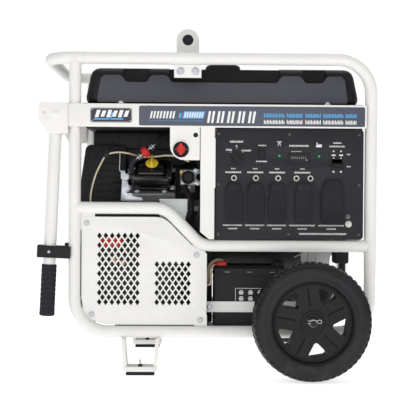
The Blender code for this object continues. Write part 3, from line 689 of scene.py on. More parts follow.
def buildLabel():
    v = labelValues
    front = fasciaY - v["film"]
    strip = facePlate("label_strip", v["low"], v["high"], front, v["film"], 0.005, rounded=lambda place: place.x > 0)
    done(strip, slateFilm)
    white, blue = [], []
    for left in v["bigBars"]:
        white += slantPair(left + 0.0095, 0.6866, 0.0170, 0.0310, 0.005)
    for left, right in v["rows"]:
        blue += tickRow(left, right, 0.6922, 0.0110)
        white += tickRow(left, right, 0.6748, 0.0108)
    for number in range(4):
        white += slantPair(-0.1465 + 0.0170 * number, 0.6918, 0.0128, 0.0190, 0.004)
    blue.append((-0.0745, 0.6900, 0.0060, 0.0130, 0.003))
    blue.append((-0.0385, 0.6918, 0.0560, 0.0190, 0.005))
    for number in range(26):
        blue.append((-0.1570 + 0.0057 * number, 0.6762, 0.0018, 0.0022, 0))
    printMarks("label_white_marks", white, front, whiteInk)
    printMarks("label_blue_marks", blue, front, blueInk)
    over = []
    for number in range(4):
        over += slantPair(-0.0580 + 0.0130 * number, 0.6918, 0.0100, 0.0140, 0.003)
    printMarks("label_over_marks", over, front - 0.00012, whiteInk)


def buildBadge():
    low, high = Vector((-0.3120, 0.6705)), Vector((-0.2020, 0.7090))
    for number, (grow, material) in enumerate(((0.0, darkFilm), (-0.0011, whiteInk), (-0.0017, darkFilm))):
        grown = Vector((grow, grow))
        plate = facePlate("badge_layer_" + str(number + 1), low - grown, high + grown,
                          fasciaY - 0.0010 - 0.0001 * number, 0.0010 if number == 0 else 0.0001, 0.0055 + grow)
        done(plate, material)
    front = fasciaY - 0.0012
    white = []
    for number in range(6):
        white.append((-0.2925 + 0.0152 * number, 0.6935, 0.0098, 0.0165 if number % 2 else 0.0195, 0.006))
    printMarks("badge_white_marks", white, front, whiteInk)
    blue = [(-0.2640, 0.6795, 0.0780, 0.0040, 0.001), (-0.2560, 0.6880, 0.0042, 0.0200, 0.008)]
    printMarks("badge_blue_marks", blue, front - 0.00012, blueInk)
    rivet = turned("badge_rivet", [(0.0017, 0), (0.0016, 0.0004), (0.0011, 0.0008), (0.0004, 0.0010)], sides=16)
    places = [(x, front, z) for x in (-0.3072, -0.2068) for z in (0.6752, 0.7043)]
    bolts("badge_rivet", rivet, places, toFront, zincSteel)
    remove(rivet)


def buildSelector():
    x, z = -0.0718, 0.600
    bezel = turned("selector_bezel", [
        (0.0210, 0), (0.0210, 0.0030), (0.0198, 0.0045), (0.0182, 0.0048), (0.0172, 0.0040), (0.0150, 0.0032),
        (0.0128, 0.0030)], (x, fasciaY, z), toFront, 48)
    done(bezel, blackMould)
    marks = []
    for angle in (0, 90, 180):
        spread = math.radians(angle)
        marks.append((x + 0.0155 * math.cos(spread), z + 0.0155 * math.sin(spread), 0.0018, 0.0018, 0))
    printMarks("selector_marks", marks, fasciaY - 0.0034, whiteInk)
    plug = turned("fascia_plug", [(0.0064, 0), (0.0062, 0.0006), (0.0050, 0.0011), (0.0038, 0.0006)],
                  (-0.0330, fasciaY, 0.6385), toFront, 24)
    done(plug, blackMould)


buildLabel()
buildBadge()
buildSelector()
print("label, badge and selector ready")


# control panel
panelValues = {
    "screws": [(x, z) for x in (0.0283, 0.2165, 0.4031) for z in (0.3765, 0.6425)] + [(0.0283, 0.509), (0.4031, 0.509)],
    "coverX": (0.0697, 0.1271, 0.1848, 0.2550, 0.3335),
    "coverWidth": (0.046, 0.046, 0.046, 0.046, 0.062),
    "coverLow": (0.405, 0.405, 0.405, 0.405, 0.403),
    "coverHigh": (0.5125, 0.5125, 0.5125, 0.5125, 0.5215),
    "buttonX": (0.0694, 0.1279, 0.1872, 0.2360, 0.2734),
    "buttonZ": 0.5256,
}


# a raised surround with its middle pushed back in
def surround(name, low, high, front, thickness, rim, sunk, corner=0.002):
    piece = facePlate(name, low, high, front, thickness, corner)
    pickFaces(piece, lambda middle, normal: normal.y < -0.9)
    bpy.ops.mesh.inset(thickness=rim, depth=0)
    bpy.ops.mesh.extrude_region_move(TRANSFORM_OT_translate={"value": (0, sunk, 0)})
    endEdit()
    addBevel(piece, 0.0003, 2, 50)
    return piece


def buildPanelPrint():
    marks = []
    for left, right, z, height in (
            (0.0579, 0.0936, 0.6224, 0.0056), (0.0479, 0.0639, 0.6006, 0.0046), (0.0733, 0.0794, 0.6112, 0.0042),
            (0.0886, 0.1141, 0.5989, 0.0046), (0.1337, 0.1548, 0.6128, 0.0036), (0.1279, 0.1578, 0.5704, 0.0040),
            (0.2160, 0.2688, 0.6124, 0.0048), (0.2212, 0.2485, 0.5972, 0.0018), (0.3334, 0.3556, 0.6206, 0.0040),
            (0.3232, 0.3652, 0.6114, 0.0044), (0.3700, 0.3790, 0.5905, 0.0034), (0.3696, 0.3806, 0.5580, 0.0034),
            (0.2439, 0.3705, 0.3780, 0.0050)):
        marks += tickRow(left, right, z, height, 0.0029, 0.0016)
    for x in (0.0676, 0.1260, 0.1842, 0.2517):
        marks += tickRow(x - 0.0063, x + 0.0063, 0.5508, 0.0036, 0.0029, 0.0016)
        marks += tickRow(x - 0.0212, x + 0.0212, 0.5412, 0.0046, 0.0029, 0.0017)
    for left, right in ((0.0407, 0.0924), (0.0995, 0.1515), (0.1580, 0.2097), (0.2175, 0.2864), (0.2952, 0.3642)):
        middle = (left + right) / 2
        marks += tickRow(left, right, 0.4003, 0.0042, 0.0029, 0.0015)
        marks += tickRow(middle - 0.0125, middle + 0.0125, 0.3912, 0.0038, 0.0029, 0.0015)
    marks += [(0.0762, 0.6052, 0.0009, 0.0040, 0), (0.0600, 0.5945, 0.0036, 0.0009, 0),
              (0.0925, 0.5945, 0.0036, 0.0009, 0)]
    # two plain symbols over the lamps, made of bars
    marks += [(0.1898, 0.6230, 0.0130, 0.0014, 0), (0.1898, 0.6200, 0.0090, 0.0012, 0),
              (0.1875, 0.6155, 0.0014, 0.0080, 0.003), (0.1921, 0.6155, 0.0014, 0.0080, -0.003)]
    marks += [(0.2953, 0.6118, 0.0150, 0.0056, 0), (0.2905, 0.6170, 0.0026, 0.0080, 0),
              (0.2955, 0.6155, 0.0030, 0.0030, 0), (0.3005, 0.6155, 0.0030, 0.0030, 0)]
    # breaker legend: dots and bars
    for x in (0.3347, 0.3546):
        marks += [(x, 0.5984, 0.0036, 0.0036, 0), (x, 0.5878, 0.0104, 0.0036, 0), (x, 0.5440, 0.0042, 0.0042, 0)]
    printMarks("panel_print", marks, panelY, whiteInk)


def buildPanelParts():
    v = panelValues
    # painted shade: a dark soft strip behind the gap between the panel's top and the fascia, so the shadowed joint
    # reads dark
    gapShadeStrip = block("panel_gap_shade_strip", (0.022, -0.2585, 0.6450), (0.412, -0.2520, 0.6640), 0.001)
    done(gapShadeStrip, softRubber)
    bolts("panel_screw", screwHead, [(x, panelY, z) for x, z in v["screws"]], toFront, dullSteel)
    for number, x in enumerate((0.1900, 0.2955), 1):
        z = (0.5856, 0.5850)[number - 1]
        ring = turned("lamp_ring_" + str(number), [
            (0.0054, 0), (0.0054, 0.0010), (0.0048, 0.0016), (0.0042, 0.0014), (0.0041, 0.0004)],
            (x, panelY, z), toFront, 32)
        done(ring, blackMould)
        lens = turned("lamp_lens_" + str(number), [
            (0.0040, 0.0002), (0.0040, 0.0016), (0.0036, 0.0030), (0.0026, 0.0040), (0.0012, 0.0045)],
            (x, panelY, z), toFront, 32)
        done(lens, greenLens)
    done(surround("meter_frame", (0.2127, 0.5676), (0.2727, 0.5930), panelY - 0.0016, 0.0016, 0.0030, 0.0010),
         blackMould)
    done(facePlate("meter_window", (0.2165, 0.5715), (0.2689, 0.5892), panelY - 0.0009, 0.0004, 0.001), meterGlass)
    ticks = [(0.2230 + 0.0052 * n, 0.5805, 0.0010, 0.0052, 0) for n in range(8)] + [(0.2625, 0.5745, 0.0060, 0.0016, 0)]
    printMarks("meter_marks", ticks, panelY - 0.0009, dimInk)
    done(surround("rocker_surround", (0.1333, 0.5760), (0.1539, 0.6040), panelY - 0.0014, 0.0014, 0.0030, 0.0011),
         blackMould)
    # breaker surround: four bars round its opening
    front = panelY - 0.0022
    bars = [facePlate("breaker_surround", (0.3262, 0.5765), (0.3622, 0.5850), front, 0.0022, 0.001),
            facePlate("bar", (0.3262, 0.5500), (0.3622, 0.5585), front, 0.0022, 0.001),
            facePlate("bar", (0.3262, 0.5580), (0.3309, 0.5770), front, 0.0022, 0.0002),
            facePlate("bar", (0.3573, 0.5580), (0.3622, 0.5770), front, 0.0022, 0.0002)]
    frameBars = joined(*bars)
    addBevel(frameBars, 0.0003, 2, 50)
    done(frameBars, blackMould)
    printMarks("breaker_dots", [(x, 0.5805, 0.0030, 0.0026, 0) for x in (0.3347, 0.3546)], front, whiteInk)
    for number, x in enumerate(v["buttonX"], 1):
        ring = ringPiece("button_ring_" + str(number), [
            (0.0047, 0.0002), (0.0047, -0.0008), (0.0054, -0.0014), (0.0070, -0.0014), (0.0078, -0.0006),
            (0.0078, 0.0002)], (x, panelY, v["buttonZ"]), 32)
        done(ring, paleSteel)
    ground = boltHead("ground_bolt", 0.0054, 0.0050)
    bolts("ground_bolt", ground, [(0.3761, panelY - 0.0012, 0.4044)], toFront, paleSteel)
    washer = turned("ground_washer", [(0.0088, 0), (0.0088, 0.0010), (0.0082, 0.0013)],
                    (0.3761, panelY, 0.4044), toFront, 32)
    done(washer, paleSteel)
    remove(ground)
    icon = ringPiece("ground_symbol", [(0.0046, 0.0001), (0.0046, -0.0001), (0.0055, -0.0001), (0.0055, 0.0001)],
                     (0.3742, panelY, 0.4238), 32)
    done(icon, dimInk)
    printMarks("ground_symbol_bars", [(0.3742, 0.4262, 0.0008, 0.0030, 0), (0.3742, 0.4242, 0.0056, 0.0008, 0),
                                      (0.3742, 0.4226, 0.0038, 0.0008, 0), (0.3742, 0.4210, 0.0018, 0.0008, 0)],
               panelY, dimInk)


# a rubber socket cover: pinched at the hinge, a raised tab above and grip ribs below
def buildCover(number):
    v = panelValues
    x, width = v["coverX"][number], v["coverWidth"][number]
    low, high = v["coverLow"][number], v["coverHigh"][number]
    body = "cover_" + str(number + 1)
    shoulder = high - 0.3 * (high - low)
    outline = [(x - 0.33 * width, high), (x - 0.46 * width, shoulder + 0.010), (x - width / 2, shoulder - 0.006),
               (x - width / 2, low + 0.014), (x - 0.455 * width, low + 0.004), (x - 0.36 * width, low),
               (x + 0.36 * width, low), (x + 0.455 * width, low + 0.004), (x + width / 2, low + 0.014),
               (x + width / 2, shoulder - 0.006), (x + 0.46 * width, shoulder + 0.010), (x + 0.33 * width, high)]
    cover = cutPlate("socket_cover_" + str(number + 1), outline, -0.2735, 0.0107)
    addBevel(cover, 0.0026, 4, 50)
    pickFaces(cover, lambda middle, normal: normal.y < -0.95)
    bpy.ops.mesh.inset(thickness=0.0022, depth=0)
    bpy.ops.mesh.extrude_region_move(TRANSFORM_OT_translate={"value": (0, 0.0006, 0)})
    bpy.ops.mesh.inset(thickness=0.0008, depth=0)
    endEdit()
    parts = [cover]
    if number < 4:
        tab = cutPlate("tab", [(x - 0.29 * width, high - 0.002), (x - 0.40 * width, high - 0.0205),
                               (x + 0.40 * width, high - 0.0205), (x + 0.29 * width, high - 0.002)], -0.2745, 0.003)
        addBevel(tab, 0.0010, 3, 40)
        parts.append(tab)
        ribs = [high - 0.030 - 0.0078 * step for step in range(9)]
    else:
        lip = cutPlate("tab", [(x - 0.27 * width, high - 0.002), (x - 0.30 * width, high - 0.009),
                               (x + 0.30 * width, high - 0.009), (x + 0.27 * width, high - 0.002)], -0.2743, 0.003)
        addBevel(lip, 0.0010, 3, 40)
        parts.append(lip)
        ribs = [low + 0.010 + 0.0070 * step for step in range(3)]
    for z in ribs:
        rib = block("rib", (x - 0.34 * width, -0.2740, z - 0.0011), (x + 0.34 * width, -0.2722, z + 0.0011), 0.0005, 2)
        parts.append(rib)
    cover = joined(*parts)
    done(cover, softRubber, body, 40, node="outlet_cover_" + str(number + 1))
    # the socket that shows when the cover is lifted
    radius = 0.42 * width
    z = (low + high) / 2 - 0.004
    face = turned("socket_face_" + str(number + 1), [
        (radius, 0), (radius, 0.00035), (radius * 0.9, 0.0005), (radius * 0.86, 0.0002), (radius * 0.3, 0.0002)],
        (x, panelY, z), toFront, 40)
    done(face, tankFaceSheen)
    slots = [(x - radius * 0.36, z + radius * 0.2, 0.0022, 0.0075, 0),
             (x + radius * 0.36, z + radius * 0.2, 0.0022, 0.0075, 0),
             (x, z - radius * 0.42, 0.0050, 0.0050, 0)]
    printMarks("socket_slots_" + str(number + 1), slots, panelY - 0.0003, deepBlack)


buildPanelPrint()
buildPanelParts()
for each in range(5):
    buildCover(each)
print("control panel ready")


# folding handles, their brackets and clips
handleValues = {
    "pivot": (-0.4037, 0.693), "length": 0.5335, "gripTop": 0.400, "gripEnd": 0.5375, "gripRadius": 0.020,
    "tilt": {"front": 2.5, "rear": 0.3}, "clip": {"front": 0.366, "rear": 0.3835},
}


def buildHandle(name, y):
    v = handleValues
    lean = math.radians(v["tilt"][name])
    down = Vector((-math.sin(lean), 0, -math.cos(lean)))
    at = Vector((v["pivot"][0], y, v["pivot"][1]))
    body = "handle_" + name
    tube = turned("handle_bar_" + name, [
        (0.0135, -0.0160), (0.0152, -0.0156), (tubeRadius, -0.0145), (tubeRadius, 0.39), (tubeRadius, v["length"])],
        at, down, 40)
    done(tube, whitePowder, body, node="handle_tube_" + name)
    wide = v["gripRadius"]
    profile = [(tubeRadius + 0.0004, v["gripTop"]), (wide - 0.0026, v["gripTop"]),
               (wide - 0.0006, v["gripTop"] + 0.0012),
               (wide, v["gripTop"] + 0.003), (wide, v["gripTop"] + 0.008)]
    for step in range(9):
        height = v["gripTop"] + 0.0105 + 0.0128 * step
        profile += [(wide - 0.0007, height), (wide - 0.0007, height + 0.0014), (wide, height + 0.0024),
                    (wide, height + 0.0100)]
    profile += [(wide, 0.5295), (wide + 0.0006, 0.5310), (wide + 0.0004, 0.5345), (wide - 0.0012, 0.5366),
                (wide - 0.0040, v["gripEnd"]), (0.006, v["gripEnd"]), (0.004, v["gripEnd"] - 0.0015)]
    grip = turned("handle_rubber_" + name, profile, at, down, 48)
    done(grip, softRubber, body, node="handle_grip_" + name)
    middle = at + down * v["clip"][name]
    for number, direction in enumerate((toFront, toRear), 1):
        face = middle + Vector((0, direction[1] * 0.0208, 0))
        screw = copyOf(screwHead, "clip_screw_" + name + "_" + str(number))
        standAt(screw, face, direction)
        done(screw, zincSteel, body)
        head = copyOf(mediumBolt, "pivot_bolt_" + name + "_" + str(number))
        standAt(head, (at.x, y + direction[1] * 0.0193, at.z), direction)
        done(head, whitePowder)
    # ribs on the clip's outer faces
    for number, side in enumerate((-1, 1), 1):
        y0, y1 = sorted((y + side * 0.0206, y + side * 0.0216))
        tip = middle.x + (0.050 if name == "front" else 0.037)
        strip = block("clip_rib_" + name + "_" + str(number), (middle.x - 0.026, y0, middle.z - 0.0125),
                      (tip, y1, middle.z - 0.0110), 0.0003)
        twin = copyOf(strip, "rib")
        twin.location = (0, 0, 0.0235)
        settle(twin)
        done(joined(strip, twin), blackMould, body)


# heat shield fixings, and what shows behind its openings
def buildShieldParts():
    places = [(-0.3215, -0.2545, 0.4035), (-0.0290, -0.2545, 0.3205), (-0.3075, -0.2545, 0.1600),
              (-0.0180, -0.2545, 0.1460)]
    bolts("shield_bolt", mediumBolt, places, toFront, zincSteel)
    tabs = (((-0.345, 0.386), (-0.300, 0.432)), ((-0.046, 0.302), (-0.006, 0.346)),
            ((-0.334, 0.142), (-0.292, 0.180)), ((-0.034, 0.122), (0.0000, 0.162)))
    for number, (low, high) in enumerate(tabs, 1):
        tab = facePlate("shield_tab_" + str(number), low, high, -0.2523, 0.0022, 0.006, 0.0004)
        done(tab, whitePowder)
    drum = block("gas_regulator", (-0.2870, -0.2420, 0.3400), (-0.2270, -0.2300, 0.3660), 0.0050, 4)
    done(drum, redPlastic)
    elbow = wire("regulator_pipe", [(-0.232, -0.236, 0.330), (-0.214, -0.236, 0.322), (-0.206, -0.236, 0.300),
                                    (-0.206, -0.236, 0.250)], 0.0042)
    done(elbow, darkSteel)
    fitting = boltHead("regulator_fitting", 0.0065, 0.010)
    bolts("regulator_fitting", fitting, [(-0.250, -0.2395, 0.306), (-0.228, -0.2395, 0.296)], toFront, brassMetal)
    remove(fitting)


# lifting bar, tank and filler
def buildTopParts():
    places = [(x, -0.2525, 0.809) for x in (-0.0745, -0.0347)]
    bolts("crossbar_bolt_front", largeBolt, places, toFront, zincSteel)
    bolts("crossbar_bolt_rear", largeBolt, [(x, -y, z) for x, y, z in places], toRear, zincSteel)
    plug = turned("eye_plug", [
        (0.0125, -0.0045), (0.0150, -0.0040), (0.0158, -0.0030), (0.0158, 0.0030), (0.0150, 0.0040), (0.0125, 0.0045)],
        (-0.055, 0, 0.929), toRear, 40)
    done(plug, softRubber)


tankValues = {
    "low": (-0.334, 0.7236), "high": (0.4133, 0.8250), "notches": ((-0.230, -0.158), (-0.106, 0.196), (0.257, 0.320)),
}


# the tank's face: a panel standing in the dark shell, lighter than it to paint the light reflected off the tank's front
# (painted reflection), with its top edge dipping at each notch
def buildTankFace(name, side):
    left, right, low, high, dip = -0.3000, 0.3790, 0.7290, 0.8040, 0.7845
    outline = [(left + 0.004, low), (right - 0.004, low), (right, low + 0.004), (right - 0.006, high - 0.010),
               (right - 0.016, high)]
    for start, end in reversed(tankValues["notches"]):
        outline += [(end + 0.009, high), (end, high - 0.006), (end - 0.005, dip + 0.004), (end - 0.012, dip),
                    (start + 0.012, dip), (start + 0.005, dip + 0.004), (start, high - 0.006), (start - 0.009, high)]
    outline += [(left + 0.022, high), (left + 0.010, high - 0.008), (left, low + 0.006)]
    slope = 0.018 / (0.825 - 0.7236)
    plate = cutPlate(name, outline, 0.0, 0.006)
    for vertex in plate.data.vertices:
        height = vertex.co.z - 0.7236
        deep = vertex.co.y > 0.003
        face = 0.2150 - slope * height + (-0.004 if deep else 0.0016)
        vertex.co.y = side * face
    beginEdit(plate)
    endEdit(facesOut=True)
    addBevel(plate, 0.0012, 3, 40)
    done(plate, tankFaceSheen)


def buildTankParts():
    buildTankFace("tank_front_face", -1)
    buildTankFace("tank_rear_face", 1)
    for side, name in ((-1, "front"), (1, "rear")):
        for number, x in enumerate((-0.2345, 0.3239), 1):
            y = side * 0.2175
            foot = facePlate("tank_tab_" + name + "_" + str(number), (x - 0.0100, 0.7245), (x + 0.0100, 0.7262), 0,
                             0.008, 0.0004)
            rise = cutPlate("rise", [(x - 0.0085, 0.7250), (x - 0.003, 0.7330), (x + 0.003, 0.7330),
                                     (x + 0.0085, 0.7250)], 0.003, 0.0022)
            tab = joined(foot, rise)
            tab.location = (0, y - 0.004, 0)
            settle(tab)
            addBevel(tab, 0.0004, 2, 40)
            done(tab, zincSteel)
    # a seam round the tank, above its flange
    seam = block("tank_seam", (-0.3365, -0.2185, 0.7242), (0.4160, 0.2185, 0.7262), 0.0006)
    done(seam, softRubber)
    # raised pads on the tank's top
    for number, (x0, x1) in enumerate(((-0.290, -0.130), (0.225, 0.370)), 1):
        pad = block("tank_pad_" + str(number), (x0, -0.150, 0.8235), (x1, 0.150, 0.8268), 0.0014, 3)
        pickFaces(pad, lambda middle, normal: normal.z > 0.95)
        bpy.ops.mesh.inset(thickness=0.008, depth=0)
        bpy.ops.mesh.extrude_region_move(TRANSFORM_OT_translate={"value": (0, 0, -0.0012)})
        endEdit()
        addBevel(pad, 0.0005, 2, 50)
        done(pad, tankPlastic)


def buildFillerCap():
    x, base = 0.047, 0.8224
    cap = turned("filler_cap_shell", [
        (0.0440, 0.0002), (0.0455, 0.0010), (0.0490, 0.0020), (0.0500, 0.0040), (0.0500, 0.0250), (0.0490, 0.0290),
        (0.0455, 0.0320), (0.0400, 0.0333), (0.0360, 0.0333), (0.0340, 0.0318), (0.0150, 0.0318), (0.0130, 0.0326),
        (0.0110, 0.0326)], (x, 0, base), (0, 0, 1), 96)
    parts = [cap]
    lug = block("lug", (x + 0.0485, -0.0030, base + 0.006), (x + 0.0508, 0.0030, base + 0.026), 0.0008, 2)
    beginEdit(lug)
    bpy.ops.mesh.spin(steps=17, dupli=True, angle=math.radians(340), center=(x, 0, base), axis=(0, 0, 1))
    endEdit()
    parts.append(lug)
    for turn in (0, 90):
        bar = block("bar", (-0.033, -0.0035, base + 0.0300), (0.033, 0.0035, base + 0.0334), 0.0008, 2)
        standAt(bar, (x, 0, 0), (0, 0, 1), math.radians(turn + 45))
        parts.append(bar)
    done(joined(*parts), blackMould, "fuel_cap", node="filler_cap")
    neck = turned(
        "filler_collar", [(0.0560, -0.0010), (0.0560, 0.0002), (0.0545, 0.0012), (0.0525, 0.0012), (0.0515, 0.0002)],
        (x, 0, base), (0, 0, 1), 72)
    done(neck, tankPlastic)


# feet
def buildFootParts(name, y):
    x = -0.177
    nut = boltHead("foot_nut", 0.0058, 0.0130)
    bolts("foot_nut_" + name, nut, [(x, y - 0.010, 0.0160)], (0, 0, 1), darkSteel)
    remove(nut)
    stud = turned("foot_stud_" + name, [(0.0032, 0.0), (0.0032, 0.0110), (0.0026, 0.0120), (0.0012, 0.0124)],
                  (x, y - 0.010, 0.0290), (0, 0, 1), 20)
    done(stud, paleSteel)
    for number, side in enumerate((-1, 1), 1):
        bead = block("foot_weld_" + name + "_" + str(number), (x + side * 0.0485 - 0.0030, y - 0.0250, 0.0955),
                     (x + side * 0.0485 + 0.0030, y + 0.0250, 0.1005), 0.0020, 3)
        done(bead, whitePowder)
    edges = []
    for side in (-1, 1):
        for lip in (-0.0255, 0.0240):
            low, high = x + side * 0.0395, x + side * 0.0450
            edges.append(cutPlate("foot_flange", [(low - 0.0048, 0.0180), (low + 0.0048, 0.0180),
                                                  (high + 0.0048, 0.0970),
                                                  (high - 0.0048, 0.0970)], y + lip, 0.0018, 0.0005))
    for lip in (-0.0255, 0.0240):
        edges.append(block("foot_lip", (x - 0.0440, y + lip - 0.0018, 0.0115), (x + 0.0440, y + lip, 0.0240), 0.0006))
    done(joined(*edges), whitePowder)
    groove = [(x - 0.0355 + 0.0071 * n, y) for n in range(11)]
    tread = None
    for gx, gy in groove:
        rib = block("foot_tread_" + name, (gx - 0.0022, gy - 0.0232, 0.0008), (gx + 0.0022, gy + 0.0232, 0.0088),
                    0.0006, 2)
        tread = joined(tread, rib) if tread else rib
    done(tread, softRubber)


for each, depth in (("front", -sideY), ("rear", sideY)):
    buildHandle(each, depth)
    buildFootParts(each, depth)
buildShieldParts()
buildTopParts()
buildTankParts()
buildFillerCap()
print("handles, feet, shield and tank ready")


# wheels
wheelValues = {
    "x": 0.2683, "z": 0.155, "y": 0.355, "lugs": 54,
    "tyre": [(0.1050, -0.0300), (0.1085, -0.0372), (0.1120, -0.0388), (0.1150, -0.0392), (0.1165, -0.0384),
             (0.1195, -0.0388), (0.1260, -0.0400), (0.1340, -0.0398), (0.1415, -0.0378), (0.1472, -0.0340),
             (0.1506, -0.0290), (0.1520, -0.0220), (0.1526, -0.0100)],
}


def buildWheel(name, side):
    v = wheelValues
    centre = (v["x"], side * v["y"], v["z"])
    body = "wheel_" + name
    section = v["tyre"] + [(radius, -y) for radius, y in reversed(v["tyre"])]
    tyre = ringPiece("tyre_" + name, section, centre, 120)
    done(tyre, tyreRubber, body, 40, node="wheel_tyre_" + name)
    # staggered tread blocks that wrap on to the shoulders
    treads = []
    for number, lean in enumerate((-1, 1)):
        lug = block("tread_" + name + "_" + str(number + 1), (-0.0046, -0.0150, -0.0024), (0.0046, 0.0150, 0.0026),
                    0.0009, 1)
        for vertex in lug.data.vertices:
            outer = vertex.co.y * lean > 0
            if outer:
                vertex.co.z -= 0.0052
            vertex.co.x += 0.0028 * vertex.co.y / 0.015
        lug.location = Vector(centre) + Vector((0, lean * 0.0215, 0.1524))
        settle(lug)
        beginEdit(lug)
        step = 2 * math.pi / v["lugs"]
        bpy.ops.mesh.spin(steps=v["lugs"] - 1, dupli=True, angle=2 * math.pi - step, center=centre, axis=(0, 1, 0))
        if number:
            bpy.ops.mesh.select_all(action="SELECT")
            bpy.ops.object.mode_set(mode="OBJECT")
            lug.matrix_world = (Matrix.Translation(centre) @ Matrix.Rotation(step / 2, 4, "Y")
                                @ Matrix.Translation([-c for c in centre]))
            settle(lug)
            beginEdit(lug)
        endEdit()
        treads.append(lug)
    middle = block("band", (-0.0034, -0.0050, -0.0020), (0.0034, 0.0050, 0.0024), 0.0008, 1)
    middle.location = Vector(centre) + Vector((0, 0, 0.1526))
    settle(middle)
    beginEdit(middle)
    bpy.ops.mesh.spin(steps=v["lugs"] - 1, dupli=True, angle=2 * math.pi - step, center=centre, axis=(0, 1, 0))
    endEdit()
    done(joined(*treads, middle), tyreRubber, body)
    buildRim(name, side, centre, body)


def buildRim(name, side, centre, body):
    rim = softened("wheel_rim_" + name, rimPlastic, body, 0.0)
    # grooves down the spokes, cut into both faces
    cutters = []
    for number in range(5):
        angle = math.radians(99 + 72 * number)
        for face in (-1, 1):
            bar = block("groove", (0.043, -0.0035, -0.0017), (0.090, 0.0035, 0.0017), 0.0008, 2)
            bar.matrix_world = (Matrix.Translation(Vector(centre) + Vector((0, face * 0.025, 0)))
                                @ Matrix.Rotation(-angle, 4, "Y"))
            settle(bar)
            cutters.append(bar)
    cutter = joined(*cutters)
    pickOnly(rim)
    change = rim.modifiers.new("grooves", "BOOLEAN")
    change.operation = "DIFFERENCE"
    change.object = cutter
    bpy.ops.object.modifier_apply(modifier=change.name)
    remove(cutter)
    addBevel(rim, 0.0016, 3, 40)
    pickOnly(rim)
    bpy.ops.object.shade_smooth_by_angle(angle=math.radians(35))
    for face in (-1, 1):
        label = name + ("_out" if face == side else "_in")
        step = ringPiece("rim_step_" + label, [
            (0.0945, face * 0.0235), (0.0955, face * 0.0275), (0.0975, face * 0.0280), (0.0985, face * 0.0235)],
            centre, 96)
        done(step, rimPlastic, body)
        lip = ringPiece("rim_lip_" + label, [
            (0.1005, face * 0.0245), (0.1015, face * 0.0285), (0.1050, face * 0.0345), (0.1080, face * 0.0370),
            (0.1120, face * 0.0378), (0.1140, face * 0.0386), (0.1146, face * 0.0380), (0.1120, face * 0.0330),
            (0.1060, face * 0.0240)], centre, 96)
        done(lip, rimPlastic, body)
        hub = turned("hub_" + label, [
            (0.0320, 0), (0.0300, 0.0022), (0.0245, 0.0030), (0.0232, 0.0048), (0.0205, 0.0056), (0.0150, 0.0058),
            (0.0135, 0.0050), (0.0110, 0.0050)],
            (centre[0], centre[1] + face * 0.0249, centre[2]), (0, face, 0), 64)
        done(hub, rimPlastic, body)
        fins = []
        for number in range(5):
            angle = math.radians(63 + 72 * number)
            fin = block("hub_fins_" + label, (0.024, -0.0012, -0.0009), (0.046, 0.0006, 0.0009), 0.0004, 2)
            fin.matrix_world = (Matrix.Translation(Vector(centre) + Vector((0, face * 0.0255, 0)))
                                @ Matrix.Rotation(-angle, 4, "Y"))
            settle(fin)
            fins.append(fin)
        done(joined(*fins), rimPlastic, body)
    # the axle end with its washer and spring clip
    end = side * 0.4025
    washer = turned("axle_washer_" + name, [(0.0115, 0), (0.0115, 0.0016), (0.0105, 0.0020), (0.0080, 0.0020)],
                    (centre[0], side * 0.3858, centre[2]), (0, side, 0), 32)
    done(washer, dullSteel)
    tip = turned("axle_tip_" + name, [(0.0074, 0), (0.0074, 0.0125), (0.0066, 0.0142), (0.0040, 0.0148)],
                 (centre[0], side * 0.3875, centre[2]), (0, side, 0), 32)
    done(tip, dullSteel)
    y = side * 0.3955
    x, z = centre[0], centre[2]
    clip = wire("spring_clip_" + name, [
        (x - 0.0150, y, z + 0.0010), (x - 0.0050, y, z - 0.0004), (x + 0.0060, y, z + 0.0040),
        (x + 0.0120, y, z + 0.0085),
        (x + 0.0180, y, z + 0.0085), (x + 0.0205, y, z + 0.0050), (x + 0.0180, y, z + 0.0010),
        (x + 0.0110, y + side * 0.0006, z + 0.0020),
        (x + 0.0050, y + side * 0.0070, z + 0.0080), (x - 0.0020, y + side * 0.0078, z + 0.0095),
        (x - 0.0100, y + side * 0.0070, z + 0.0070), (x - 0.0150, y + side * 0.0066, z + 0.0090)], 0.0011)
    done(clip, zincSteel)


for each, direction in (("front", -1), ("rear", 1)):
    buildWheel(each, direction)
print("wheels ready")


# engine bay
engineValues = {
    "crankZ": 0.385, "bank": math.radians(42), "left": -0.219, "right": -0.089,
    "finFrom": 0.1230, "finTo": 0.1975, "fins": 9, "finHalf": (0.066, 0.0535, 0.0013),
    "flangeHalf": (0.0655, 0.0500), "flangeThick": 0.0055, "flangeAlong": 0.2018, "boltAlong": 0.2074,
    "beadAlong": 0.2050,
    "bolts": ((-0.0375, -0.0440), (0.0375, -0.0440), (-0.0590, -0.0330), (0.0590, -0.0330), (-0.0590, 0.0330),
              (0.0590, 0.0330)),
    "crowns": ((0.058, 0.030, 0.2300, 0.2450), (0.036, 0.020, 0.2430, 0.2495)),   # half width, half depth, from, to
    "beads": (((-0.045, -0.0465, 0), (0.045, -0.0435, 0.014)), ((-0.030, -0.0372, 0.022), (0.030, -0.0345, 0.0385))),
    "oilCap": (-0.152, 0.2452, 0.019),
}


# a point on a cylinder bank: along its bore and across it, for the front (-1) or rear (1) bank
def bankPoint(x, along, across, side=-1):
    lean = engineValues["bank"]
    y = along * math.cos(lean) - across * math.sin(lean)
    z = engineValues["crankZ"] + along * math.sin(lean) + across * math.cos(lean)
    return Vector((x, side * y, z))


def bankTurn(side):
    return Matrix.Rotation(-side * (math.radians(90) - engineValues["bank"]), 4, "X")


def standOnBank(piece, x, along, across, side):
    piece.matrix_world = Matrix.Translation(bankPoint(x, along, across, side)) @ bankTurn(side)
    settle(piece)


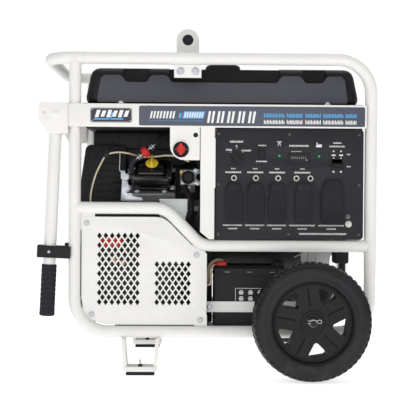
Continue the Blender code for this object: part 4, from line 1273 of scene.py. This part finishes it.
def buildBank(name, side):
    v = engineValues
    middle = (v["left"] + v["right"]) / 2
    # cooling fins round the cylinder
    fins = []
    step = (v["finTo"] - v["finFrom"]) / (v["fins"] - 1)
    for number in range(v["fins"]):
        fin = block(name + "_fins", [-half for half in v["finHalf"]], v["finHalf"], 0.0009, 2)
        standOnBank(fin, middle, v["finFrom"] + number * step, 0, side)
        fins.append(fin)
    done(joined(*fins), castAlloy)
    # gasket flange, bolts and a raised bead on the rocker cover
    wide, deep = v["flangeHalf"]
    flange = block(name + "_cover_flange", (-wide, -deep, 0), (wide, deep, v["flangeThick"]), 0.0018, 3)
    standOnBank(flange, middle, v["flangeAlong"], 0, side)
    done(flange, glossBlack)
    direction = bankPoint(0, 1, 0, side) - bankPoint(0, 0, 0, side)
    places = [bankPoint(middle + x, v["boltAlong"], across, side) for x, across in v["bolts"]]
    bolts(name + "_cover_bolt", mediumBolt, places, direction, zincSteel)
    for number, (wide, deep, base, top) in enumerate(v["crowns"], 1):
        crown = block(name + "_cover_crown_" + str(number), (-wide, -deep, 0), (wide, deep, top - base), 0.0045, 4)
        standOnBank(crown, middle, base, 0, side)
        done(crown, glossBlack)
    bead = []
    for low, high in v["beads"]:
        rib = block(name + "_cover_bead", low, high, 0.0013, 3)
        standOnBank(rib, middle, v["beadAlong"], 0, side)
        bead.append(rib)
    done(joined(*bead), glossBlack)
    # spark plug boot
    boot = turned(name + "_plug_boot", [(0.0060, 0), (0.0095, 0.002), (0.0100, 0.014), (0.0080, 0.018), (0.0080, 0.034),
                                        (0.0060, 0.040), (0.0045, 0.046)],
                  bankPoint(v["left"] - 0.002, 0.185, -0.015, side), (-1, side * 0.15, 0.25), 32)
    done(boot, softRubber)


def buildHousing():
    # the black blower housing and the ducts over the engine
    housing = cutPlate("blower_housing", [(-0.3530, 0.4300), (-0.3510, 0.5200), (-0.3380, 0.6100), (-0.3280, 0.6180),
                                          (-0.2300, 0.6180), (-0.2240, 0.6100), (-0.2240, 0.4300)], -0.1250, 0.2500,
                                          0.006)
    parts = [housing]
    for number in range(7):
        z = 0.468 + 0.019 * number
        parts.append(block("rib", (-0.3150, -0.1272, z), (-0.2420, -0.1235, z + 0.0030), 0.0012, 2))
    done(joined(*parts), blackMould)
    collar = turned("blower_collar", [
        (0.1235, -0.004), (0.1262, -0.002), (0.1262, 0.004), (0.1235, 0.006)], (-0.2290, 0, 0.385), (1, 0, 0), 96)
    done(collar, blackMould)
    duct = block("engine_duct", (-0.2320, -0.0900, 0.430), (-0.0120, 0.0900, 0.5650), 0.016, 4)
    done(duct, darkSteel)
    # partly painted shade: a dark block under the tank that stands in for the tank's dark underside and the shade over
    # the inside of the rear fascia
    underTankShade = block("under_tank_shade_block", (-0.3280, -0.2200, 0.6570), (0.0150, 0.2200, 0.6950), 0.004, 3)
    screen = block("rear_screen", (-0.2300, 0.0600, 0.4300), (0.0160, 0.0900, 0.6600), 0.004, 3)
    pan = block("oil_pan", (-0.2150, -0.0780, 0.1250), (0.0150, 0.0780, 0.2850), 0.012, 4)
    # partly painted shade: a dark sheet behind the heat shield so its gaps read black; it stands in for the dark engine
    # parts and the shade among them
    shieldGapShade = block("shieldGapShade", (-0.3500, -0.1300, 0.1250), (0.0160, -0.1268, 0.4350), 0.0012, 2)
    done(joined(underTankShade, screen, pan, shieldGapShade), darkSteel)
    lid = block("air_box_lid", (-0.3180, -0.1120, 0.6050), (-0.0300, 0.1120, 0.6560), 0.008, 4)
    parts = [lid]
    for x in (-0.246, -0.190, -0.134, -0.078):
        parts.append(block("rib", (x - 0.002, -0.1142, 0.6120), (x + 0.002, -0.1110, 0.6500), 0.0012, 2))
    for x in (-0.262, -0.088):
        parts.append(block("latch", (x - 0.008, -0.1165, 0.5930), (x + 0.008, -0.1110, 0.6260), 0.0018, 3))
    done(joined(*parts), blackMould)
    # grille over the blower's intake, on the left side
    x = -0.3190
    grille = []
    for radius in (0.018, 0.031, 0.044, 0.0565):
        ring = ringPiece("blower_grille", [(radius - 0.0012, -0.0012), (radius + 0.0012, -0.0012),
                                           (radius + 0.0012, 0.0012), (radius - 0.0012, 0.0012)], (0, 0, 0), 64)
        ring.matrix_world = Matrix.Translation((x, 0, 0.385)) @ Matrix.Rotation(math.radians(90), 4, "Z")
        settle(ring)
        grille.append(ring)
    for number in range(8):
        bar = block("bar", (0.010, -0.0012, -0.0012), (0.0575, 0.0012, 0.0012), 0.0005, 2)
        bar.matrix_world = (Matrix.Translation((x, 0, 0.385)) @ Matrix.Rotation(math.radians(45 * number), 4, "X")
                            @ Matrix.Rotation(math.radians(90), 4, "Y"))
        settle(bar)
        grille.append(bar)
    done(joined(*grille), darkSteel)
    fixings = [(-0.3180, 0.112 * math.cos(math.radians(a)), 0.385 + 0.112 * math.sin(math.radians(a)))
               for a in (35, 145, 215, 325)]
    bolts("shroud_bolt", smallBolt, fixings, (-1, 0, 0), zincSteel)


def buildFuelParts():
    # in-line filter between two spring-clipped hoses
    start, end = Vector((-0.1835, -0.200, 0.5835)), Vector((-0.1545, -0.200, 0.6070))
    run = (end - start).normalized()
    middle = (start + end) / 2
    filterBody = turned("fuel_filter", [
        (0.0042, -0.0120), (0.0060, -0.0085), (0.0140, -0.0075), (0.0152, -0.0062), (0.0152, -0.0010),
        (0.0157, -0.0005),
        (0.0157, 0.0015), (0.0152, 0.0020), (0.0152, 0.0062), (0.0140, 0.0075), (0.0060, 0.0085), (0.0042, 0.0120)],
        middle, run, 40)
    done(filterBody, redPlastic)
    done(wire("fuel_hose_low", [start + run * 0.006, start - run * 0.006, (-0.200, -0.198, 0.571),
                                (-0.208, -0.190, 0.552),
                                (-0.204, -0.184, 0.536)], 0.0068, 6), softRubber)
    done(wire("fuel_hose_high", [end - run * 0.006, end + run * 0.008, (-0.1390, -0.195, 0.6240),
                                 (-0.1240, -0.175, 0.6390),
                                 (-0.1180, -0.150, 0.6520)], 0.0068, 6), softRubber)
    for name, place in (("low", start - run * 0.0015), ("high", end + run * 0.0030)):
        rings = []
        for shift in (-0.0032, 0.0032):
            ring = turned("hose_clip_" + name, [(0.0070, -0.0009), (0.0088, -0.0010), (0.0088, 0.0010),
                                                (0.0070, 0.0009)],
                          place + run * shift, run, 32)
            rings.append(ring)
        for lean in (-1, 1):
            ear = block("ear", (-0.0009, -0.0009, -0.0050), (0.0009, 0.0009, 0.0050), 0.0004, 2)
            ear.matrix_world = (Matrix.Translation(place + Vector((lean * 0.0050, -0.0065, lean * 0.0035)))
                                @ run.to_track_quat("Z", "Y").to_matrix().to_4x4())
            settle(ear)
            rings.append(ear)
        done(joined(*rings), zincSteel)


def buildGovernor():
    # plated linkage beside the front rocker cover
    y = -0.183
    arm = cutPlate("governor_arm", [(-0.2360, 0.5450), (-0.2360, 0.5240), (-0.2300, 0.5180), (-0.2150, 0.5210),
                                    (-0.2130, 0.5330),
                                    (-0.2230, 0.5370), (-0.2260, 0.5450)], y - 0.004, 0.0022, 0.0005)
    plate = cutPlate("plate", [(-0.2330, 0.5200), (-0.2360, 0.4640), (-0.1760, 0.4640), (-0.1780, 0.4720),
                               (-0.2030, 0.4760),
                               (-0.2120, 0.4950), (-0.2190, 0.5200)], y, 0.0022, 0.0005)
    shelf = block("shelf", (-0.2350, y, 0.4630), (-0.1760, y + 0.030, 0.4652), 0.0005)
    done(joined(arm, plate, shelf), zincSteel)
    done(wire("governor_rod", [(-0.2385, y - 0.006, 0.5920), (-0.2388, y - 0.006, 0.5650), (-0.2380, y - 0.006, 0.5450),
                               (-0.2290, y - 0.006, 0.5380)], 0.0013), zincSteel)
    spring = [(-0.2180 + 0.0012 * n, y - 0.006 + 0.0025 * math.cos(n * 1.9),
               0.5350 + 0.0010 * n + 0.0025 * math.sin(n * 1.9))
              for n in range(18)]
    done(wire("governor_spring", spring, 0.0006, 2), zincSteel)
    bolts("governor_bolt", smallBolt, [(-0.2250, y, 0.5060), (-0.2180, y, 0.4890), (-0.2265, y - 0.004, 0.5300)],
          toFront, zincSteel)
    # pale module with its corrugated hose
    module = block("ignition_module", (-0.1290, -0.2140, 0.3900), (-0.0530, -0.1880, 0.4690), 0.0035, 4)
    pickFaces(module, lambda middle, normal: normal.y < -0.95)
    bpy.ops.mesh.inset(thickness=0.0055, depth=0)
    bpy.ops.mesh.extrude_region_move(TRANSFORM_OT_translate={"value": (0, 0.0012, 0)})
    endEdit()
    addBevel(module, 0.0006, 2, 50)
    done(module, greyPlastic)
    lid = block("module_rim", (-0.1305, -0.2155, 0.4640), (-0.0515, -0.1865, 0.4685), 0.0012, 3)
    done(lid, greyPlastic)
    route = [(-0.062, -0.190, 0.500), (-0.050, -0.205, 0.475), (-0.044, -0.212, 0.448), (-0.050, -0.210, 0.420),
             (-0.066, -0.200, 0.400)]
    done(wire("breather_hose", route, 0.0088, 6), deepBlack)
    for number in range(10):
        t = number / 9
        index = min(int(t * 4), 3)
        a, b = Vector(route[index]), Vector(route[index + 1])
        place = a.lerp(b, t * 4 - index)
        ring = turned("hose_ring_" + str(number + 1), [(0.0086, -0.0012), (0.0102, -0.0007), (0.0102, 0.0007),
                                                       (0.0086, 0.0012)],
                      place, b - a, 24)
        done(ring, blackMould)


def buildCarburettor():
    # intake parts to the right of the rocker cover
    base = block("carburettor_body", (-0.0740, -0.1850, 0.5050), (-0.0300, -0.1350, 0.5500), 0.005, 4)
    done(base, castAlloy)
    bowl = turned("carburettor_bowl", [(0.0140, -0.024), (0.0180, -0.021), (0.0180, -0.004), (0.0200, -0.002),
                                       (0.0200, 0.003)],
                  (-0.052, -0.162, 0.508), (0, 0, 1), 40)
    done(bowl, castAlloy)
    horn = turned("intake_horn", [(0.0160, 0), (0.0175, 0.004), (0.0150, 0.010), (0.0150, 0.022), (0.0185, 0.026),
                                  (0.0150, 0.028), (0.0120, 0.020)], (-0.053, -0.185, 0.5270), toFront, 40)
    done(horn, blackMould)
    places = [(-0.0340, -0.1860, 0.5450), (-0.0300, -0.1860, 0.5180), (-0.0700, -0.1860, 0.5420)]
    bolts("carburettor_bolt", smallBolt, places, toFront, brassMetal)
    shaft = wire("throttle_rod", [(-0.020, -0.196, 0.5480), (-0.030, -0.197, 0.5380), (-0.034, -0.196, 0.5260),
                                  (-0.026, -0.195, 0.5130)], 0.0022)
    done(shaft, zincSteel)
    lever = cutPlate("throttle_lever", [(-0.036, 0.553), (-0.018, 0.549), (-0.016, 0.541), (-0.028, 0.536),
                                        (-0.040, 0.541)],
                     -0.1935, 0.0020, 0.0005)
    done(lever, zincSteel)
    lever = cutPlate("choke_lever", [(-0.034, 0.521), (-0.015, 0.517), (-0.013, 0.509), (-0.026, 0.505),
                                     (-0.037, 0.510)],
                     -0.1935, 0.0020, 0.0005)
    done(lever, zincSteel)


def buildLeads():
    lead = wire("ignition_wire", [
        (-0.3100, -0.2080, 0.4290), (-0.3160, -0.2080, 0.4550), (-0.3080, -0.2080, 0.5150), (-0.2890, -0.2080, 0.5620),
        (-0.2740, -0.2080, 0.5850), (-0.2500, -0.2080, 0.5935), (-0.2200, -0.1980, 0.5925), (-0.1950, -0.1800, 0.5870),
        (-0.1700, -0.1700, 0.5830), (-0.1370, -0.1750, 0.5850), (-0.1080, -0.1880, 0.5870), (-0.0800, -0.1990, 0.5830),
        (-0.0500, -0.1950, 0.5700)], 0.0024, 6)
    done(lead, creamSleeve, node="ignition_lead")
    clip = block("lead_clip", (-0.2800, -0.2150, 0.5790), (-0.2660, -0.2020, 0.5930), 0.0025, 3)
    tail = block("tail", (-0.2760, -0.2120, 0.5900), (-0.2710, -0.2050, 0.6050), 0.0015, 3)
    done(joined(clip, tail), softRubber)
    for name, points, radius in (
            ("main", [(-0.3200, -0.150, 0.4700), (-0.3120, -0.165, 0.5300), (-0.2900, -0.165, 0.5850),
                      (-0.2500, -0.150, 0.6100)], 0.0045),
            ("side", [(-0.0300, -0.140, 0.6300), (-0.0350, -0.170, 0.6000), (-0.0280, -0.185, 0.5700),
                      (-0.0100, -0.190, 0.5400)], 0.0040),
            ("low", [(-0.0100, -0.215, 0.4700), (-0.0200, -0.222, 0.4400), (-0.0280, -0.220, 0.4100),
                     (-0.0200, -0.205, 0.3800)], 0.0050)):
        done(wire("loom_" + name, points, radius, 5), softRubber)


# the yellow oil cap and its finger tab
def buildOilCap():
    place = engineValues["oilCap"]
    cap = turned("oil_cap", [
        (0.0150, 0), (0.0178, 0.0008), (0.0180, 0.0030), (0.0168, 0.0046), (0.0110, 0.0056), (0.0060, 0.0060)],
        bankPoint(*place), bankPoint(0, 1, 0) - bankPoint(0, 0, 0), 48)
    tab = block("tab", (-0.0026, -0.0130, 0.0030), (0.0026, 0.0160, 0.0210), 0.0016, 3)
    standOnBank(tab, *place, -1)
    done(joined(cap, tab), yellowPlastic, "oil_cap", node="dipstick")


# the rear side of the crankcase: ribs, a bolted cover, the oil filter and a drain plug
def buildRearParts():
    y = 0.1050
    ribs = [block("crankcase_ribs", (x - 0.0022, y - 0.001, 0.1600), (x + 0.0022, y + 0.0050, 0.4350), 0.0014, 2)
            for x in (-0.2130, -0.1950, -0.0300, -0.0120)]
    ribs += [block("rib", (-0.2150, y - 0.001, z - 0.0022), (-0.0100, y + 0.0040, z + 0.0022), 0.0014, 2)
             for z in (0.2250, 0.4000, 0.4250)]
    done(joined(*ribs), castAlloy)
    low, high = (-0.1850, y - 0.002, 0.2400), (-0.0400, y + 0.0120, 0.3880)
    cover = block("crankcase_cover", low, high, 0.0100, 5)
    boss = turned("boss", [(0.0340, 0), (0.0340, 0.0040), (0.0300, 0.0070), (0.0120, 0.0070)],
                  (-0.1125, y + 0.0115, 0.3140), toRear, 64)
    done(joined(cover, boss), castAlloy)
    places = [(x, y + 0.0118, z) for x in (-0.1740, -0.1125, -0.0510) for z in (0.2510, 0.3770)]
    places += [(x, y + 0.0118, 0.3140) for x in (-0.1740, -0.0510)]
    bolts("crankcase_cover_bolt", smallBolt, places, toRear, zincSteel)
    oilFilter = turned("oil_filter", [
        (0.0300, 0), (0.0340, 0.002), (0.0340, 0.006), (0.0325, 0.009), (0.0325, 0.060), (0.0310, 0.066),
        (0.0260, 0.069),
        (0.0120, 0.070)], (-0.1125, y, 0.1850), toRear, 72)
    flutes = []
    for number in range(16):
        angle = math.radians(22.5 * number)
        flute = block("flute", (-0.0016, 0.052, 0.0315), (0.0016, 0.066, 0.0338), 0.0008, 2)
        flute.matrix_world = Matrix.Translation((-0.1125, y, 0.1850)) @ Matrix.Rotation(angle, 4, "Y")
        settle(flute)
        flutes.append(flute)
    done(joined(oilFilter, *flutes), blackMould)
    bolts("drain_plug", mediumBolt, [(-0.1900, y, 0.1750)], toRear, zincSteel)
    # terminal box on the alternator, and the back of the panel box
    box = block("terminal_box", (0.1250, 0.0900, 0.4050), (0.2300, 0.1300, 0.4700), 0.0050, 4)
    lid = block("terminal_lid", (0.1230, 0.1290, 0.4030), (0.2320, 0.1330, 0.4720), 0.0015, 3)
    gland = turned("gland", [(0.0110, 0), (0.0110, 0.010), (0.0085, 0.014), (0.0060, 0.022)], (0.1775, 0.110, 0.4060),
                   (0, 0, -1), 32)
    done(joined(box, lid, gland), blackMould)
    places = [(x, 0.1330, z) for x in (0.1320, 0.2230) for z in (0.4120, 0.4630)]
    bolts("terminal_screw", smallBolt, places, toRear, dullSteel)
    vents = [block("panel_box_vents", (left, -0.1505, z), (right, -0.1485, z + 0.0040), 0.0008, 2)
             for left, right in ((0.0801, 0.2000), (0.2400, 0.3600)) for z in (0.5600, 0.5720, 0.5840, 0.5960)]
    done(joined(*vents), deepBlack)
    places = [(x, -0.1500, z) for x in (0.0400, 0.2180, 0.3960) for z in (0.5200, 0.6350)]
    bolts("panel_box_screw", smallBolt, places, toRear, dullSteel)
    latches = [block("lid_latches", (x - 0.008, 0.1110, 0.5930), (x + 0.008, 0.1165, 0.6260), 0.0018, 3)
               for x in (-0.262, -0.088)]
    done(joined(*latches), blackMould)


for each, direction in (("front", -1), ("rear", 1)):
    buildBank(each, direction)
buildRearParts()
buildHousing()
buildFuelParts()
buildGovernor()
buildCarburettor()
buildLeads()
buildOilCap()
print("engine bay ready")


# muffler, alternator and battery
def buildMuffler():
    seams = []
    for x in (-0.3050, -0.0800):
        seams.append(block("muffler_seam", (x - 0.003, -0.2290, 0.1710), (x + 0.003, -0.1340, 0.3690), 0.0020, 3))
    for z in (0.230, 0.290):
        seams.append(block("swage", (-0.2950, -0.2290, z - 0.004), (-0.0900, -0.1340, z + 0.004), 0.0020, 3))
    done(joined(*seams), exhaustMetal)
    outlet = turned("muffler_outlet", [
        (0.0170, 0), (0.0170, 0.018), (0.0195, 0.020), (0.0195, 0.024), (0.0165, 0.026), (0.0145, 0.026),
        (0.0140, 0.010)],
        (-0.3150, -0.180, 0.210), (-1, 0, 0), 40)
    done(outlet, exhaustMetal)
    for number, x in enumerate((-0.1900, -0.1180), 1):
        pipe = wire("exhaust_pipe_" + str(number), [(x, -0.120, 0.410), (x, -0.160, 0.405), (x, -0.180, 0.385),
                                                    (x, -0.182, 0.360)], 0.0130, 8)
        done(pipe, exhaustMetal)


def buildAlternator():
    source = softened("alternator_housing", alternatorGrey, "frame", 0.0010)
    source.data.materials.append(blackMould)
    for face in source.data.polygons:
        if 0.099 < face.center.x < 0.262 and math.hypot(face.center.y, face.center.z - 0.385) > 0.100:
            face.material_index = 1
    barrel = ringPiece("alternator_barrel", [
        (0.1120, -0.0815), (0.1158, -0.0815), (0.1166, -0.0790), (0.1160, -0.0760), (0.1160, 0.0760), (0.1166, 0.0790),
        (0.1158, 0.0815), (0.1120, 0.0815)], (0, 0, 0), 96)
    barrel.matrix_world = Matrix.Translation((0.1805, 0, 0.385)) @ Matrix.Rotation(math.radians(90), 4, "Z")
    settle(barrel)
    done(barrel, blackMould)
    # dark louvres round the end bell
    louvres = []
    for number in range(26):
        angle = math.radians(360 / 26 * number)
        slot = block("bell_louvres", (0.0120, -0.0026, 0.1122), (0.0480, 0.0026, 0.1156), 0.0012, 2)
        slot.matrix_world = Matrix.Translation((0, 0, 0.385)) @ Matrix.Rotation(angle, 4, "X")
        settle(slot)
        louvres.append(slot)
    done(joined(*louvres), deepBlack)
    flange = block("alternator_bracket", (0.2620, -0.1280, 0.2450), (0.3450, -0.0980, 0.3450), 0.0040, 3)
    done(flange, castAlloy)
    coupling = wire("bracket_loop", [(0.2950, -0.1320, 0.3300), (0.2860, -0.1350, 0.3120), (0.2880, -0.1350, 0.2900),
                                     (0.2990, -0.1350, 0.2830), (0.3080, -0.1350, 0.2930), (0.3080, -0.1350, 0.3130),
                                     (0.3010, -0.1320, 0.3300)], 0.0016, 3)
    done(coupling, paleSteel)
    pin = wire("bracket_pin", [(0.2450, -0.1340, 0.3080), (0.2560, -0.1340, 0.3130), (0.2720, -0.1340, 0.3190)],
               0.0018, 3)
    done(pin, paleSteel)
    damper = block("end_block", (0.3560, -0.1350, 0.2900), (0.3980, -0.0850, 0.3550), 0.0060, 4)
    foot = block("end_foot", (0.3740, -0.1250, 0.2400), (0.3900, -0.0950, 0.2950), 0.0040, 3)
    done(joined(damper, foot), softRubber)
    bolts("bell_bolt", mediumBolt, [(0.3560, 0.098 * math.cos(math.radians(a)),
                                     0.385 + 0.098 * math.sin(math.radians(a)))
                                    for a in (45, 135, 225, 315)], (1, 0, 0), zincSteel)
    cover = turned("bell_cap", [(0.0600, 0), (0.0600, 0.003), (0.0540, 0.006), (0.0300, 0.008), (0.0280, 0.010),
                                (0.0100, 0.010)],
                   (0.3555, 0, 0.385), (1, 0, 0), 64)
    done(cover, darkSteel)


def buildBattery():
    x0, x1, front, rear = 0.0187, 0.2170, -0.2150, -0.0850
    lid = block("battery_lid", (x0 - 0.0012, front - 0.0012, 0.2600), (x1 + 0.0012, rear + 0.0012, 0.2660), 0.0012, 2)
    top = block("battery_top", (x0 + 0.010, front + 0.012, 0.2830), (x1 - 0.010, rear - 0.012, 0.2880), 0.0020, 3)
    done(joined(lid, top), blackMould)
    marks = [(x, 0.2715, 0.0135, 0.0012, 0) for x in (0.0550, 0.1153, 0.1775)]
    printMarks("battery_lid_marks", marks, front - 0.0003, dimInk)
    left, right, low, high = 0.0775, 0.1640, 0.1930, 0.2275
    lines = [((left + right) / 2, high, right - left, 0.0010, 0), (left, (low + high) / 2, 0.0010, high - low, 0),
             (right, (low + high) / 2, 0.0010, high - low, 0)]
    for z in (0.2165, 0.2000):
        for number in range(3):
            x = left + 0.0155 + 0.0255 * number
            lines += [(x, z, 0.0135, 0.0030, 0), (x, z + 0.0042, 0.0090, 0.0028, 0), (x, z - 0.0042, 0.0105, 0.0028, 0)]
    printMarks("battery_label", lines, front - 0.0003, whiteInk)
    for number, (x, material) in enumerate(((0.0400, redPlastic), (0.1960, blackMould)), 1):
        boot = block("terminal_boot_" + str(number), (x - 0.012, front + 0.014, 0.2840),
                     (x + 0.014, front + 0.036, 0.2985), 0.0035, 4)
        nose = block("nose", (x - 0.020, front + 0.019, 0.2860), (x - 0.008, front + 0.031, 0.2950), 0.0030, 3)
        done(joined(boot, nose), material)
    sleeve = wire("cable_sleeve", [(0.0230, -0.1900, 0.2900), (0.0150, -0.1950, 0.2850), (0.0100, -0.2000, 0.2700),
                                   (0.0110, -0.2060, 0.2480), (0.0080, -0.2080, 0.2380), (-0.0020, -0.2050, 0.2350)],
                                   0.0034, 5)
    done(sleeve, creamSleeve)
    bolts("strap_bolt", mediumBolt, [(0.0075, -0.2190, 0.1775)], toFront, zincSteel)


buildMuffler()
buildAlternator()
buildBattery()
print("muffler, alternator and battery ready")


# floor, light and camera
def buildStage():
    pickOnly()
    bpy.ops.mesh.primitive_plane_add(size=1)
    floor = bpy.context.object
    floor.name = "studio_floor"
    floor.scale = (60, 60, 1)
    settle(floor)
    material = bpy.data.materials.new("pale_floor")
    material.use_nodes = True
    flow = Flow(material.node_tree)
    shader = material.node_tree.nodes["Principled BSDF"]
    tone = flow.blend(flow.noise(1.5), rgb(0.90, 0.90, 0.90), rgb(0.93, 0.93, 0.93))
    material.node_tree.links.new(tone.socket, shader.inputs["Base Color"])
    shader.inputs["Roughness"].default_value = 0.9
    shader.inputs["Emission Color"].default_value = (1, 1, 1, 1)
    shader.inputs["Emission Strength"].default_value = 0.66
    floor.data.materials.append(material)

    world = bpy.data.worlds.new("studio")
    bpy.context.scene.world = world
    world.use_nodes = True
    flow = Flow(world.node_tree)
    seen = flow.node("ShaderNodeLightPath", output="Is Camera Ray")
    background = world.node_tree.nodes["Background"]
    background.inputs["Color"].default_value = (1, 1, 1, 1)
    world.node_tree.links.new((seen * 0.63 + 0.39).socket, background.inputs["Strength"])

    for name, at, size, power in (
            ("key_light", (-2.4, -3.2, 3.0), 2.6, 26.0),
            ("front_light", (-0.2, -3.9, 0.75), 2.2, 24.0),
            ("fill_light", (2.8, -2.6, 2.0), 2.4, 17.0),
            ("top_light", (0.2, 0.6, 3.6), 3.0, 26.0),
            ("rear_light", (0.5, 3.4, 2.2), 2.4, 16.0)):
        bpy.ops.object.light_add(type="AREA", location=at)
        light = bpy.context.object
        light.name = name
        light.data.size = size
        light.data.energy = power
        aim = Vector((0.0, 0.0, 0.45)) - Vector(at)
        light.rotation_euler = aim.to_track_quat("-Z", "Y").to_euler()
    bpy.context.scene.view_settings.view_transform = "Standard"


cameraValues = {"eye": (-0.055, -2.997, 0.485), "lens": 89.0, "yaw": 1.17, "pitch": 0.83, "roll": 0.35}


def buildCamera():
    v = cameraValues
    bpy.ops.object.camera_add(location=v["eye"])
    camera = bpy.context.object
    turn = (Matrix.Rotation(math.radians(-v["yaw"]), 4, "Z") @ Matrix.Rotation(math.radians(90 - v["pitch"]), 4, "X")
            @ Matrix.Rotation(math.radians(v["roll"]), 4, "Z"))
    camera.matrix_world = Matrix.Translation(v["eye"]) @ turn
    camera.data.lens = v["lens"]
    camera.data.sensor_width = 36.0
    camera.data.clip_start = 0.01
    bpy.context.scene.camera = camera


remove(smallBolt, mediumBolt, largeBolt, screwHead)
buildStage()
buildCamera()
